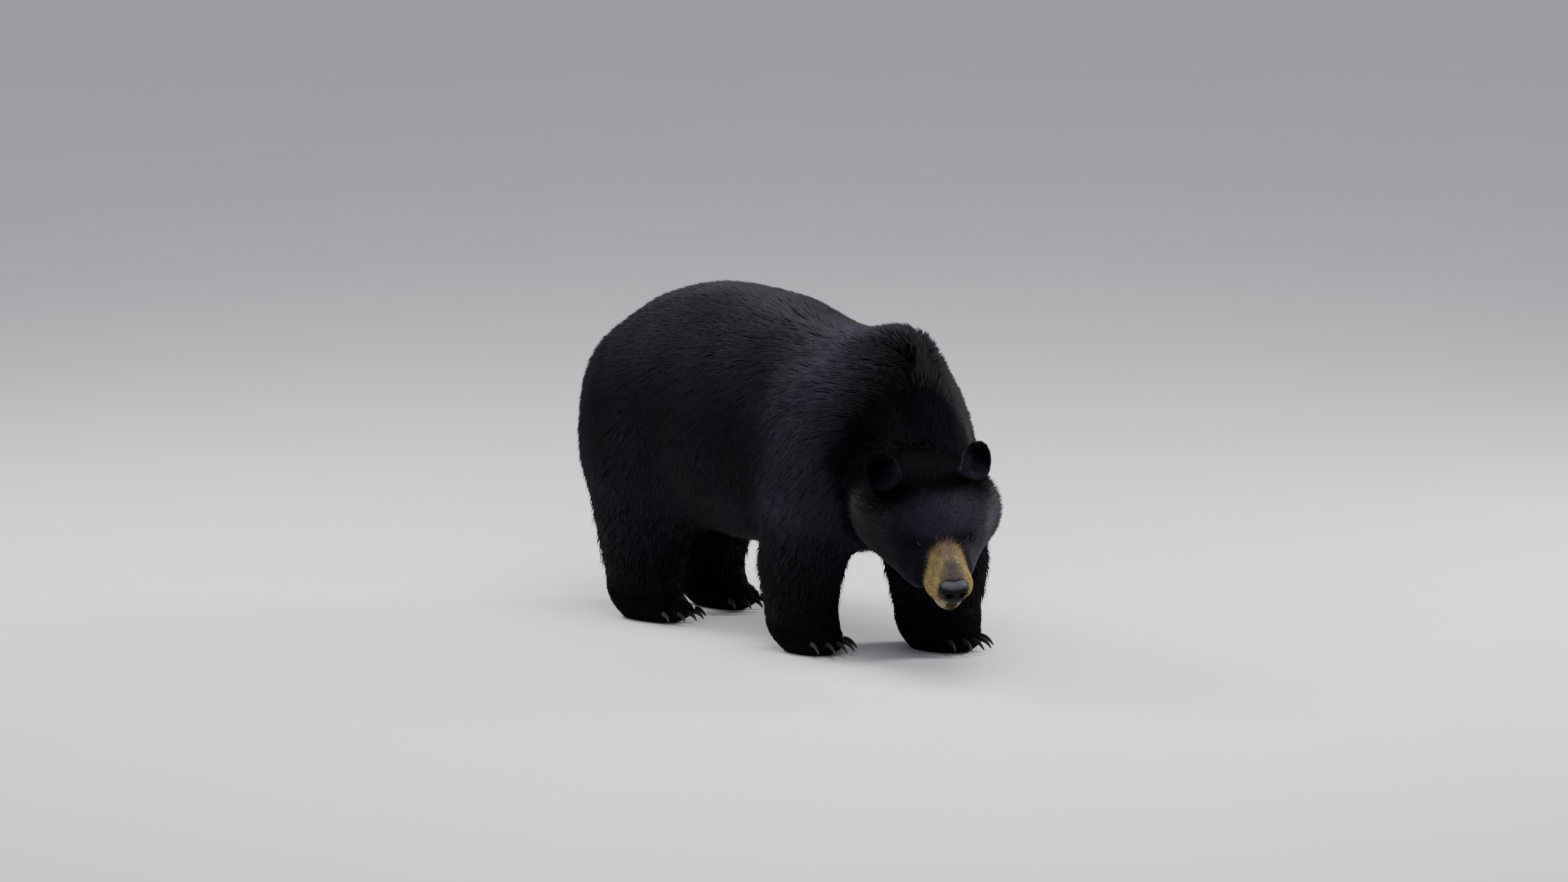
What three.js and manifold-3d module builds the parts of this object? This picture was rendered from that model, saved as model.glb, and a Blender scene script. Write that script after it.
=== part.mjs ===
// A life-size American black bear that stands with its head low and turned to its right.
// Millimetres, +Z up. The bear faces -Y and its own left side is +X. The origin is on the floor, under the
// middle of the bear's box. Every surface lies at the tips of the coat.
//
// The flesh is one field of blended masses. Each node is that field's surface, meshed at a cell size that
// suits the node, and trimmed by plain cutters that leave a thin gap between neighbours.

import * as THREE from "three";
import { mergeVertices } from "three/addons/utils/BufferGeometryUtils.js";
import Module from "manifold-3d";

const wasm = await Module();
wasm.setup();

// ---------------------------------------------------------------- driving dimensions

const BACK_HEIGHT = 905; // top of the rump
const HUMP_HEIGHT = 892; // top of the shoulder hump
const BELLY_CLEARANCE = 235; // floor to the lowest belly hair
const HIP_Y = 375; // middle of the hip joints
const SHOULDER_Y = -370; // middle of the shoulder joints
const TRUNK_HALF_WIDTH = 300;
const SHOULDER_AT = { "1": [182, SHOULDER_Y + 2, 492], "-1": [-166, SHOULDER_Y + 40, 535] };
const RUFF_AT = { "1": [130, 182, -46], "-1": [-109, 182, -16] }; // in the head's frame

const GAP = 0.3; // between neighbouring nodes
const SPAN = 4000; // longer than the bear, for cutters that reach right through it

const EYES_AT = new THREE.Vector3(-199, -837, 399); // midway between the eyes
const HEAD_YAW = -27; // degrees, to the bear's right
const HEAD_PITCH = 23; // nose down
const HEAD_ROLL = 4; // crown towards the bear's right
const EYE_SPACING = 122;
const EYE_RADIUS = 12.5;

// Where each ear's root stands in the head's frame. The right ear is laid further out than the left.
const EAR_ROOTS = { left: [118, 114, 90], right: [-122, 114, 88] };
const EAR_TURN = 20; // degrees outwards, about the ear's upright axis
const EAR_SPLAY = { left: 3, right: 16 }; // degrees out from upright
const EAR_LEAN = -6; // degrees forwards, so they lean back a little
const EAR_HALF_WIDTH = 50;
const EAR_HEIGHT = 116;
const EAR_HALF_DEPTH = 28;

// In the head's frame: the muzzle begins this far out, and the lips meet at this height.
const MUZZLE_ROOT_Y = -34;
const LIP_LINE_Z = -124;
const NOSE_AT = [0, -143, -82];
const NOSE_RADII = [39, 27, 34];

// Where the middle of each lower limb stands, out from the midline and along the body, and its radii where
// it leaves the trunk, at the wrist or hock, and at the root of the paw.
const LIMBS = {
  fore_right: { side: -1, x: 154, y: -238, fore: true, radii: [126, 112, 100] },
  fore_left: { side: 1, x: 146, y: -450, fore: true, radii: [146, 134, 119] },
  hind_right: { side: -1, x: 152, y: 395, fore: false, radii: [150, 118, 103] },
  hind_left: { side: 1, x: 106, y: 416, fore: false, radii: [142, 111, 97] },
};

// The heights of a limb's three joints: the elbow or knee, the wrist or hock, and the root of the paw.
const JOINTS = { fore: { top: 420, middle: 235, root: 96 }, hind: { top: 410, middle: 240, root: 92 } };

// A limb is cut level between its upper two joints and at the root of the paw.
const LEVELS = { fore: { middle: 345, paw: 96 }, hind: { middle: 355, paw: 94 } };

// The arch that parts a limb from the trunk: its top's centre and radius, and its half width at the floor.
const ARCH = { fore: { z: 440, radius: 200, foot: 172 }, hind: { z: 410, radius: 244, foot: 190 } };

const CLAWS = 5;
const CLAW_RADIUS = 7;
const CLAW_LENGTH = { fore: 44, hind: 34 };
const CLAW_ROOT = { fore: { front: 148, height: 38 }, hind: { front: 182, height: 34 } };
const CLAW_SET_BACK = 9; // of a claw beside the middle one, and more with the square of its place
const CLAW_FAN = 9; // degrees between neighbouring claws
const CLAW_BEND = 62; // degrees from root to tip
const CLAW_SPACING = 29;

const INNER_WALL = 62; // from the midline to the inner wall of a limb within the trunk
const UNDER_BELLY = 265; // below this height everything beside the midline belongs to a leg

// The cell size of each kind of node's surface: finest where the shape is smallest.
const CELL = { body: 66, paw: 44, head: 32, muzzle: 21, ear: 18, tail: 27 };

const COLOURS = {
  coat: { color: 0x0d0c0e, roughness: 0.62 },
  muzzle: { color: 0x7a5d38, roughness: 0.7 },
  nose: { color: 0x1a1a1f, roughness: 0.35 },
  eye: { color: 0x120a06, roughness: 0.08 },
  claw: { color: 0x1c1815, roughness: 0.4 },
};

const point = (x, y, z) => new THREE.Vector3(x, y, z);
const degrees = THREE.MathUtils.degToRad;

// ---------------------------------------------------------------- the field of masses

// Each mass is a function of a point, negative inside it, roughly in millimetres.
function ellipsoid(centre, radii, turn = point(0, 0, 0)) {
  const inverse = new THREE.Matrix4()
    .makeRotationFromEuler(new THREE.Euler(degrees(turn.x), degrees(turn.y), degrees(turn.z)))
    .setPosition(centre)
    .invert();
  const near = new THREE.Vector3();
  const steep = new THREE.Vector3();
  return (p) => {
    near.copy(p).applyMatrix4(inverse).divide(radii);
    steep.copy(near).divide(radii);
    const reach = near.length();
    return (reach * (reach - 1)) / Math.max(steep.length(), 1e-9);
  };
}

// A bone-like mass from one point to another, with a radius at each end.
function tapered(from, fromRadius, to, toRadius) {
  const axis = to.clone().sub(from);
  const squared = axis.lengthSq();
  const along = new THREE.Vector3();
  return (p) => {
    const share = THREE.MathUtils.clamp(along.copy(p).sub(from).dot(axis) / squared, 0, 1);
    return along.addScaledVector(axis, -share).length() - THREE.MathUtils.lerp(fromRadius, toRadius, share);
  };
}

// Two masses run into each other over a band `blend` wide.
function joined(a, b, blend) {
  const overlap = Math.max(blend - Math.abs(a - b), 0) / blend;
  return Math.min(a, b) - (overlap * overlap * blend) / 4;
}

function mapped(table, make) {
  return Object.fromEntries(Object.entries(table).map(([name, value]) => [name, make(value)]));
}

const mirrored = (make) => [make(1), make(-1)];

function trunkMasses() {
  return [
    { blend: 90, shape: ellipsoid(point(0, HIP_Y, BACK_HEIGHT - 318), point(212, 298, 292)) }, // rump
    { blend: 90, shape: ellipsoid(point(0, HIP_Y - 178, BACK_HEIGHT - 282), point(250, 322, 310)) }, // loin
    {
      blend: 110,
      shape: ellipsoid(point(0, 50, BELLY_CLEARANCE + 292), point(TRUNK_HALF_WIDTH, 400, 290)), // belly
    },
    { blend: 90, shape: ellipsoid(point(0, -30, BACK_HEIGHT - 290), point(222, 290, 308)) }, // back
    {
      blend: 90,
      shape: ellipsoid(point(0, SHOULDER_Y + 75, HUMP_HEIGHT - 305), point(245, 270, 276)), // chest
    },
    {
      blend: 70,
      shape: ellipsoid(point(0, SHOULDER_Y - 88, HUMP_HEIGHT - 106), point(104, 112, 118)), // hump
    },
    ...mirrored((side) => ({
      blend: 80,
      // shoulder: the left one is swung forwards with its leg
      shape: ellipsoid(point(...SHOULDER_AT[side]), point(104, 160, 225), point(-8, 0, 0)),
    })),
    ...mirrored((side) => ({
      blend: 80,
      // haunch
      shape: ellipsoid(point(side * 165, HIP_Y + 10, 490), point(137, 230, 270), point(6, 0, 0)),
    })),
    ...mirrored((side) => ({
      blend: 80,
      // point of the hip
      shape: ellipsoid(point(side * 118, HIP_Y + 146, 622), point(92, 106, 142)),
    })),
  ];
}

function limbMasses({ side, x, y, fore, radii: [top, joint, root] }) {
  const foot = side * x;
  const heights = fore ? JOINTS.fore : JOINTS.hind;
  if (fore) {
    const elbow = point(side * 168, (y + SHOULDER_Y) / 2 + 25, heights.top);
    const wrist = point(foot, y, heights.middle);
    return [
      { blend: 60, shape: tapered(elbow, top, wrist, joint) },
      { blend: 40, shape: tapered(wrist, joint, point(foot, y, heights.root), root) },
      { blend: 34, shape: ellipsoid(point(foot, y - 52, 40), point(78, 104, 48)) }, // paw
    ];
  }
  const knee = point(side * 165, HIP_Y - 10, heights.top);
  const hock = point(foot, y + 6, heights.middle);
  return [
    { blend: 60, shape: tapered(knee, top, hock, joint) },
    { blend: 40, shape: tapered(hock, joint, point(foot, y + 8, heights.root), root) },
    { blend: 34, shape: ellipsoid(point(foot, y - 62, 38), point(76, 122, 44)) }, // paw
  ];
}

function tailMasses() {
  return [{ blend: 24, shape: tapered(point(0, HIP_Y + 270, 668), 48, point(0, HIP_Y + 322, 554), 38) }];
}

// The head's own frame: its origin is midway between the eyes, -Y runs out to the nose and +X to its left.
const headFrame = new THREE.Matrix4()
  .makeRotationFromEuler(
    new THREE.Euler(degrees(HEAD_PITCH), degrees(-HEAD_ROLL), degrees(HEAD_YAW), "ZXY"),
  )
  .setPosition(EYES_AT);

const inHead = (x, y, z) => point(x, y, z).applyMatrix4(headFrame);

function headMasses() {
  return [
    { blend: 40, shape: ellipsoid(point(0, 134, 40), point(134, 90, 72)) }, // crown
    { blend: 60, shape: ellipsoid(point(0, 72, 8), point(112, 104, 74)) }, // forehead
    { blend: 60, shape: ellipsoid(point(0, 120, -62), point(118, 125, 82)) }, // throat
    ...mirrored((side) => ({
      blend: 60,
      shape: ellipsoid(point(side * 84, 112, -22), point(74, 104, 92)), // cheek
    })),
    ...mirrored((side) => ({
      blend: 40,
      shape: ellipsoid(point(side * 88, 122, 38), point(62, 74, 58)), // temple
    })),
    ...mirrored((side) => ({
      blend: 50,
      shape: ellipsoid(point(side * 50, 34, -104), point(50, 82, 60)), // jowl
    })),
    ...mirrored((side) => ({ blend: 24, shape: ellipsoid(point(side * 50, 10, 18), point(32, 30, 20)) })),
    { blend: 36, shape: tapered(point(0, 20, -48), 62, point(0, -104, -82), 46) }, // muzzle
    { blend: 26, shape: tapered(point(0, 0, -10), 26, point(0, -126, -54), 25) }, // bridge
    ...mirrored((side) => ({
      blend: 22,
      shape: ellipsoid(point(side * 32, -90, -92), point(34, 54, 34)), // lip
    })),
    { blend: 22, shape: ellipsoid(point(0, -76, -139), point(37, 60, 29)) }, // chin
  ];
}

// An ear's frame: its origin is at the root, +Z runs up the ear and -Y is the way the bowl faces.
function earFrame(side) {
  const name = side > 0 ? "left" : "right";
  const splay = degrees(side * EAR_SPLAY[name]);
  return new THREE.Matrix4()
    .makeRotationFromEuler(new THREE.Euler(degrees(EAR_LEAN), splay, degrees(side * EAR_TURN), "ZYX"))
    .setPosition(point(...EAR_ROOTS[name]))
    .premultiply(headFrame);
}

function earField(side) {
  const inverse = earFrame(side).invert();
  const middle = EAR_HEIGHT * 0.37;
  const shell = ellipsoid(point(0, 0, middle), point(EAR_HALF_WIDTH, EAR_HALF_DEPTH, EAR_HEIGHT - middle));
  const bowl = ellipsoid(point(0, -34, EAR_HEIGHT * 0.5), point(EAR_HALF_WIDTH - 14, 24, EAR_HEIGHT * 0.42));
  const near = new THREE.Vector3();
  return (p) => {
    near.copy(p).applyMatrix4(inverse);
    return Math.max(shell(near), -bowl(near));
  };
}

const headInverse = headFrame.clone().invert();
const inHeadFrame = new THREE.Vector3();
const skull = headMasses();
const flesh = [
  ...trunkMasses(),
  ...Object.values(LIMBS).flatMap(limbMasses),
  ...tailMasses(),
  ...neckMasses(),
];

function neckMasses() {
  const nape = inHead(0, 215, -14);
  const jawAngle = inHead(0, 160, -50);
  return [
    { blend: 110, shape: tapered(point(0, SHOULDER_Y - 50, 640), 178, nape, 98) },
    { blend: 110, shape: tapered(point(0, SHOULDER_Y - 20, 515), 210, jawAngle, 150) },
    ...mirrored((side) => ({
      blend: 60,
      shape: ellipsoid(inHead(...RUFF_AT[side]), point(92, 88, 108)), // ruff
    })),
  ];
}

function blended(masses, p) {
  return masses.reduce((sum, mass) => joined(sum, mass.shape(p), mass.blend), Infinity);
}

const HEAD_BLEND = 40;

function bodyField(p) {
  inHeadFrame.copy(p).applyMatrix4(headInverse);
  return joined(blended(flesh, p), blended(skull, inHeadFrame), HEAD_BLEND);
}

// ---------------------------------------------------------------- meshing

// The field's surface inside a box, as a closed BufferGeometry of quads: one vertex for each cell that the
// surface crosses, drawn on to the surface along the field's gradient. The cells are counted from the origin,
// so that neighbouring nodes of one cell size share their surface.
function surface(field, box, cell) {
  const low = box.min.clone().divideScalar(cell).floor().multiplyScalar(cell);
  const size = box.max.clone().sub(low);
  const [nx, ny, nz] = size.toArray().map((s) => Math.ceil(s / cell) + 1);
  const corner = (i, j, k) => low.clone().add(point(i * cell, j * cell, k * cell));
  const index = (i, j, k) => (k * ny + j) * nx + i;
  const values = new Float64Array(nx * ny * nz);
  for (let k = 0; k < nz; k++)
    for (let j = 0; j < ny; j++)
      for (let i = 0; i < nx; i++) {
        const edge = i === 0 || j === 0 || k === 0 || i === nx - 1 || j === ny - 1 || k === nz - 1;
        const value = field(corner(i, j, k));
        values[index(i, j, k)] = edge ? Math.max(value, cell / 4) : value;
      }
  untangle(values, [nx, ny, nz], cell);

  const positions = [];
  const vertexOf = new Map();
  const OFFSETS = [0, 1, 2, 3, 4, 5, 6, 7].map((n) => [n & 1, (n >> 1) & 1, n >> 2]);
  for (let k = 0; k < nz - 1; k++)
    for (let j = 0; j < ny - 1; j++)
      for (let i = 0; i < nx - 1; i++) {
        const sum = point(0, 0, 0);
        let crossings = 0;
        for (const [a, b, c] of OFFSETS)
          for (const [x, y, z] of [[1, 0, 0], [0, 1, 0], [0, 0, 1]]) {
            if (a + x > 1 || b + y > 1 || c + z > 1) continue;
            const here = values[index(i + a, j + b, k + c)];
            const there = values[index(i + a + x, j + b + y, k + c + z)];
            if (here < 0 === there < 0) continue;
            const share = here / (here - there);
            sum.add(corner(i + a + x * share, j + b + y * share, k + c + z * share));
            crossings++;
          }
        if (!crossings) continue;
        vertexOf.set(index(i, j, k), positions.length / 3);
        positions.push(...settled(sum.divideScalar(crossings), field, box, cell).toArray());
      }

  const faces = [];
  for (let k = 0; k < nz - 1; k++)
    for (let j = 0; j < ny - 1; j++)
      for (let i = 0; i < nx - 1; i++)
        for (const axis of [0, 1, 2]) {
          const step = [0, 0, 0];
          step[axis] = 1;
          if ([i, j, k].some((n, other) => other !== axis && n === 0)) continue;
          const here = values[index(i, j, k)];
          const there = values[index(i + step[0], j + step[1], k + step[2])];
          if (here < 0 === there < 0) continue;
          const u = [0, 0, 0];
          const v = [0, 0, 0];
          u[(axis + 1) % 3] = 1;
          v[(axis + 2) % 3] = 1;
          const quad = [[0, 0], [1, 0], [1, 1], [0, 1]].map(([m, n]) =>
            vertexOf.get(index(i - m * u[0] - n * v[0], j - m * u[1] - n * v[1], k - m * u[2] - n * v[2])),
          );
          if (there < 0) quad.reverse();
          faces.push(...halves(quad, positions));
        }
  return new THREE.BufferGeometry()
    .setAttribute("position", new THREE.Float32BufferAttribute(positions, 3))
    .setIndex(faces);
}

// Where only the opposite corners of a cell's face are inside, two sheets would meet along one edge, so one
// of those corners is let out until no such face is left.
function untangle(values, counts, cell) {
  const strides = [1, counts[0], counts[0] * counts[1]];
  for (let changed = true; changed; ) {
    changed = false;
    for (const axis of [0, 1, 2]) {
      const [u, v] = [strides[(axis + 1) % 3], strides[(axis + 2) % 3]];
      for (let n = 0; n < values.length - u - v; n++) {
        const corners = [n, n + u, n + u + v, n + v];
        const [a, b, c, d] = corners.map((m) => values[m] < 0);
        if (a !== c || b !== d || a === b) continue;
        values[corners[a ? 0 : 1]] = cell / 10;
        changed = true;
      }
    }
  }
}

// A point moved along the gradient until it lies on the surface, by no more than half a cell.
function settled(start, field, box, cell) {
  const PROBE = 0.5;
  const at = start.clone();
  const limit = box.clone().expandByScalar(-cell);
  if (!limit.containsPoint(at)) return at;
  for (let round = 0; round < 4; round++) {
    const slope = point(
      field(at.clone().add(point(PROBE, 0, 0))) - field(at.clone().add(point(-PROBE, 0, 0))),
      field(at.clone().add(point(0, PROBE, 0))) - field(at.clone().add(point(0, -PROBE, 0))),
      field(at.clone().add(point(0, 0, PROBE))) - field(at.clone().add(point(0, 0, -PROBE))),
    ).divideScalar(2 * PROBE);
    at.addScaledVector(slope, -field(at) / Math.max(slope.lengthSq(), 0.1));
  }
  const moved = at.clone().sub(start).clampLength(0, cell / 2);
  return start.clone().add(moved);
}

// A quad's two triangles, split along its shorter diagonal.
function halves([a, b, c, d], positions) {
  const at = (n) => new THREE.Vector3().fromArray(positions, n * 3);
  return at(a).distanceTo(at(c)) <= at(b).distanceTo(at(d)) ? [a, b, c, a, c, d] : [a, b, d, b, c, d];
}

// ---------------------------------------------------------------- solids

function solid(geometry, matrix = new THREE.Matrix4()) {
  const plain = geometry.clone().applyMatrix4(matrix);
  plain.deleteAttribute("normal");
  plain.deleteAttribute("uv");
  const merged = mergeVertices(plain, 1e-3);
  return new wasm.Manifold(
    new wasm.Mesh({
      numProp: 3,
      vertProperties: merged.attributes.position.array,
      triVerts: new Uint32Array(merged.index.array),
    }),
  );
}

// The piece of a solid that a person would call the part: the largest, without the crumbs of a cut.
const largest = (body) => body.decompose().reduce((a, b) => (a.volume() > b.volume() ? a : b));

function geometryOf(body) {
  const mesh = body.getMesh();
  return new THREE.BufferGeometry()
    .setAttribute("position", new THREE.BufferAttribute(mesh.vertProperties, 3))
    .setIndex(new THREE.BufferAttribute(mesh.triVerts, 1));
}

// Everything on the side of a plane that its normal points to, from `inset` past the plane.
function beyond(origin, normal, inset = GAP / 2) {
  const turn = new THREE.Quaternion().setFromUnitVectors(point(0, 0, 1), normal.clone().normalize());
  const middle = origin.clone().addScaledVector(normal.clone().normalize(), SPAN / 2 + inset);
  const place = new THREE.Matrix4().compose(middle, turn, point(1, 1, 1));
  return solid(new THREE.BoxGeometry(SPAN, SPAN, SPAN), place);
}

const boxSolid = (low, high, matrix) => {
  const middle = low.clone().add(high).divideScalar(2);
  const size = high.clone().sub(low);
  const geometry = new THREE.BoxGeometry(size.x, size.y, size.z).translate(middle.x, middle.y, middle.z);
  return solid(geometry, matrix);
};

const aboveFloor = beyond(point(0, 0, 0), point(0, 0, 1), 0);

function meshed(box, cell, field = bodyField) {
  return solid(surface(field, box, cell)).intersect(aboveFloor);
}

// ---------------------------------------------------------------- cutters

// A limb leaves the trunk inside a tall arch, seen from the side, that leans from the foot to the shoulder or
// the hip. Below the belly the arch reaches in to the midline, so that the whole leg is on one side of it.
function limbCutter({ side, y, fore }, grow) {
  const top = fore ? THREE.MathUtils.lerp(SHOULDER_Y, y, 0.4) : HIP_Y + 22;
  const { z, radius, foot } = fore ? ARCH.fore : ARCH.hind;
  const arch = new THREE.Shape();
  arch.moveTo(y - foot - grow, -100);
  arch.lineTo(y + foot + grow, -100);
  const STEPS = 14;
  for (let n = 0; n <= STEPS; n++) {
    const angle = (Math.PI * n) / STEPS;
    arch.lineTo(top + (radius + grow) * Math.cos(angle), z + (radius + grow) * Math.sin(angle));
  }
  const inner = INNER_WALL - grow;
  const slab = new THREE.ExtrudeGeometry(arch, { depth: 600, bevelEnabled: false });
  const upright = new THREE.Matrix4().makeBasis(point(0, 1, 0), point(0, 0, 1), point(1, 0, 0));
  const across = new THREE.Matrix4().makeTranslation(side > 0 ? inner : -600 - inner, 0, 0);
  const outer = solid(slab, across.multiply(upright));
  const under = boxSolid(
    point(side > 0 ? GAP / 2 : -300, y - foot - grow, -100),
    point(side > 0 ? 300 : -GAP / 2, y + foot + grow, UNDER_BELLY + grow),
  );
  return outer.add(under);
}

const NECK_ROOT = point(-30, SHOULDER_Y - 200, 600);
const NECK_AXIS = point(-0.34, -0.88, -0.22);
const HEAD_ROOT = inHead(0, 205, 0);
const HEAD_AXIS = inHead(0, -1, 0.12).sub(EYES_AT).normalize();

// ---------------------------------------------------------------- nodes

const bear = new THREE.Group();
const materials = mapped(COLOURS, (look) => new THREE.MeshStandardMaterial({ metalness: 0, ...look }));

function add(name, body, look = "coat") {
  const mesh = new THREE.Mesh(geometryOf(largest(body)), materials[look]);
  mesh.name = name;
  bear.add(mesh);
}

const cutters = mapped(LIMBS, (limb) => limbCutter(limb, GAP));

function addTrunk() {
  const box = new THREE.Box3(point(-420, -900, -60), point(420, 860, 1000));
  let trunk = meshed(box, CELL.body).intersect(beyond(NECK_ROOT, NECK_AXIS.clone().negate()));
  for (const cutter of Object.values(cutters)) trunk = trunk.subtract(cutter);
  add("trunk", trunk.subtract(tailCutter(GAP)));
}

function tailCutter(grow) {
  const low = point(-55, HIP_Y + 302, 470);
  const high = point(55, HIP_Y + 500, 690);
  return boxSolid(low.addScalar(-grow), high.addScalar(grow));
}

function addTail() {
  const box = new THREE.Box3(point(-130, HIP_Y + 200, 400), point(130, HIP_Y + 480, 780));
  add("tail", meshed(box, CELL.tail).intersect(tailCutter(0)));
}

function addNeck() {
  const box = new THREE.Box3(point(-560, -1150, -60), point(420, -380, 960));
  let neck = meshed(box, CELL.body)
    .intersect(beyond(NECK_ROOT, NECK_AXIS))
    .intersect(beyond(HEAD_ROOT, HEAD_AXIS.clone().negate()));
  for (const cutter of Object.values(cutters)) neck = neck.subtract(cutter);
  add("neck", neck);
  return neck;
}

function addLimb(name, limb) {
  const level = limb.fore ? LEVELS.fore : LEVELS.hind;
  const reach = 330;
  const middle = point(limb.side * limb.x, limb.y, 0);
  const box = new THREE.Box3(
    middle.clone().add(point(-reach, -reach, -60)),
    middle.clone().add(point(reach, reach, 760)),
  );
  const whole = meshed(box, CELL.body).intersect(limbCutter(limb, 0));
  const up = point(0, 0, 1);
  const down = point(0, 0, -1);
  const joint = point(0, 0, level.middle);
  const wrist = point(0, 0, level.paw);
  add(`${name}_upper`, whole.intersect(beyond(joint, up)));
  add(`${name}_lower`, whole.intersect(beyond(joint, down)).intersect(beyond(wrist, up)));
  addPaw(name, limb, wrist);
}

function addPaw(name, limb, wrist) {
  const middle = point(limb.side * limb.x, limb.y - 50, 0);
  const box = new THREE.Box3(
    middle.clone().add(point(-190, -220, -60)),
    middle.clone().add(point(190, 240, 180)),
  );
  let paw = meshed(box, CELL.paw).intersect(limbCutter(limb, 0)).intersect(beyond(wrist, point(0, 0, -1)));
  for (let toe = 0; toe < CLAWS; toe++) {
    paw = paw.subtract(claw(limb, toe, GAP));
    add(`${name}_claw_${toe + 1}`, claw(limb, toe, 0), "claw");
  }
  add(`${name}_paw`, paw);
}

// Claws fan out along the front of the paw. Each is a cone bent down towards the floor.
function claw(limb, toe, grow) {
  const length = limb.fore ? CLAW_LENGTH.fore : CLAW_LENGTH.hind;
  const profile = [0, 0.5, 1].map((share) => {
    const taper = Math.sqrt(1 - share * 0.96) * CLAW_RADIUS;
    return new THREE.Vector2(share === 1 ? 0 : taper + grow, share * (length + grow * 4) - grow);
  });
  const cone = new THREE.LatheGeometry([new THREE.Vector2(0, -grow), ...profile], 5);
  const bend = degrees(CLAW_BEND);
  const at = cone.attributes.position;
  for (let n = 0; n < at.count; n++) {
    const angle = (Math.max(at.getY(n), 0) / length) * bend;
    const arc = length / bend;
    const radial = -at.getZ(n);
    at.setXYZ(
      n,
      at.getX(n),
      -(arc + radial) * Math.sin(angle) + Math.min(at.getY(n), 0) * -1,
      (arc + radial) * Math.cos(angle) - arc,
    );
  }
  const spread = toe - (CLAWS - 1) / 2;
  const { front, height } = limb.fore ? CLAW_ROOT.fore : CLAW_ROOT.hind;
  const root = point(
    limb.side * limb.x + spread * CLAW_SPACING,
    limb.y - front + spread * spread * CLAW_SET_BACK,
    height,
  );
  const turn = new THREE.Matrix4().makeRotationZ(degrees(spread * CLAW_FAN)).setPosition(root);
  return solid(cone, turn);
}

// Each ear stands on the flesh: it is cut by what it stands on and then lifted off it by the gap.
function addEars(under) {
  for (const side of [1, -1]) {
    const frame = earFrame(side);
    const middle = point(0, 0, EAR_HEIGHT / 2).applyMatrix4(frame);
    const box = new THREE.Box3().setFromCenterAndSize(middle, point(260, 260, 260));
    const lift = point(0, 0, 1).transformDirection(frame).multiplyScalar(1.5 * GAP);
    const ear = under.reduce((rest, body) => rest.subtract(body), meshed(box, CELL.ear, earField(side)));
    add(side > 0 ? "ear_left" : "ear_right", largest(ear).translate(lift.toArray()));
  }
}

// The first point on a way out of the flesh that lies no deeper in it than `depth`.
function wayOut(from, to, depth) {
  const STEPS = 400;
  for (let n = 0; n < STEPS; n++) {
    const at = from.clone().lerp(to, n / STEPS);
    if (bodyField(at) > -depth) return at;
  }
  throw new Error("that way never leaves the flesh");
}

const EYE_DEPTH = 8;
const eyeCentres = Object.fromEntries(
  [1, -1].map((side) => {
    const x = (side * EYE_SPACING) / 2;
    return [side, wayOut(inHead(x * 0.9, 60, -6), inHead(x * 1.1, -80, 6), EYE_DEPTH)];
  }),
);

function eye(side, grow) {
  const at = eyeCentres[side];
  return solid(new THREE.SphereGeometry(EYE_RADIUS + grow, 12, 8).translate(at.x, at.y, at.z));
}

function nose(grow) {
  const pad = new THREE.SphereGeometry(1, 14, 10).scale(...NOSE_RADII.map((radius) => radius + grow));
  return solid(pad.translate(...NOSE_AT), headFrame);
}

// The muzzle runs out from between the eyes. The lower jaw lies under the line of the lips.
const MUZZLE_ROOT = inHead(0, MUZZLE_ROOT_Y, 0);
const MUZZLE_AXIS = inHead(0, -1, 0).sub(EYES_AT).normalize();
const LIP_LINE = inHead(0, 0, LIP_LINE_Z);
const JAW_AXIS = inHead(0, 0, -1).sub(EYES_AT).normalize();

function addHead() {
  const box = new THREE.Box3().setFromCenterAndSize(inHead(0, 40, -5), point(660, 660, 600));
  const whole = meshed(box, CELL.head).intersect(beyond(HEAD_ROOT, HEAD_AXIS));
  let head = whole.intersect(beyond(MUZZLE_ROOT, MUZZLE_AXIS.clone().negate()));
  const front = new THREE.Box3().setFromCenterAndSize(inHead(0, -80, -60), point(320, 320, 320));
  let muzzle = meshed(front, CELL.muzzle).intersect(beyond(MUZZLE_ROOT, MUZZLE_AXIS)).subtract(nose(GAP));
  for (const side of [1, -1]) {
    head = head.subtract(eye(side, GAP));
    muzzle = muzzle.subtract(eye(side, GAP));
    add(side > 0 ? "eye_left" : "eye_right", eye(side, 0), "eye");
  }
  add("head", head);
  add("muzzle", muzzle.intersect(beyond(LIP_LINE, JAW_AXIS.clone().negate())), "muzzle");
  add("lower_jaw", muzzle.intersect(beyond(LIP_LINE, JAW_AXIS)), "muzzle");
  add("nose", nose(0), "nose");
  return whole;
}

addTrunk();
addTail();
addEars([addNeck(), addHead()]);
for (const [name, limb] of Object.entries(LIMBS)) addLimb(name, limb);

// The origin moves to the floor under the middle of the bear's box.
const bounds = new THREE.Box3().setFromObject(bear);
const middle = bounds.getCenter(new THREE.Vector3());
bear.position.set(-middle.x, -middle.y, 0);

export default bear;
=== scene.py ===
"""A life-size American black bear in its autumn coat: one skin under tufts of fur, with eyes, lids, a nose
pad and claws, on a plain studio floor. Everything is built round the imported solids, whose surface lies at the
tips of the coat. Metres, +Z up; the bear faces -Y and its own left side is +X."""

import copy
import math

import bmesh
import bpy
import numpy as np
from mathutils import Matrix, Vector
from mathutils.bvhtree import BVHTree
from mathutils.kdtree import KDTree


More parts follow.
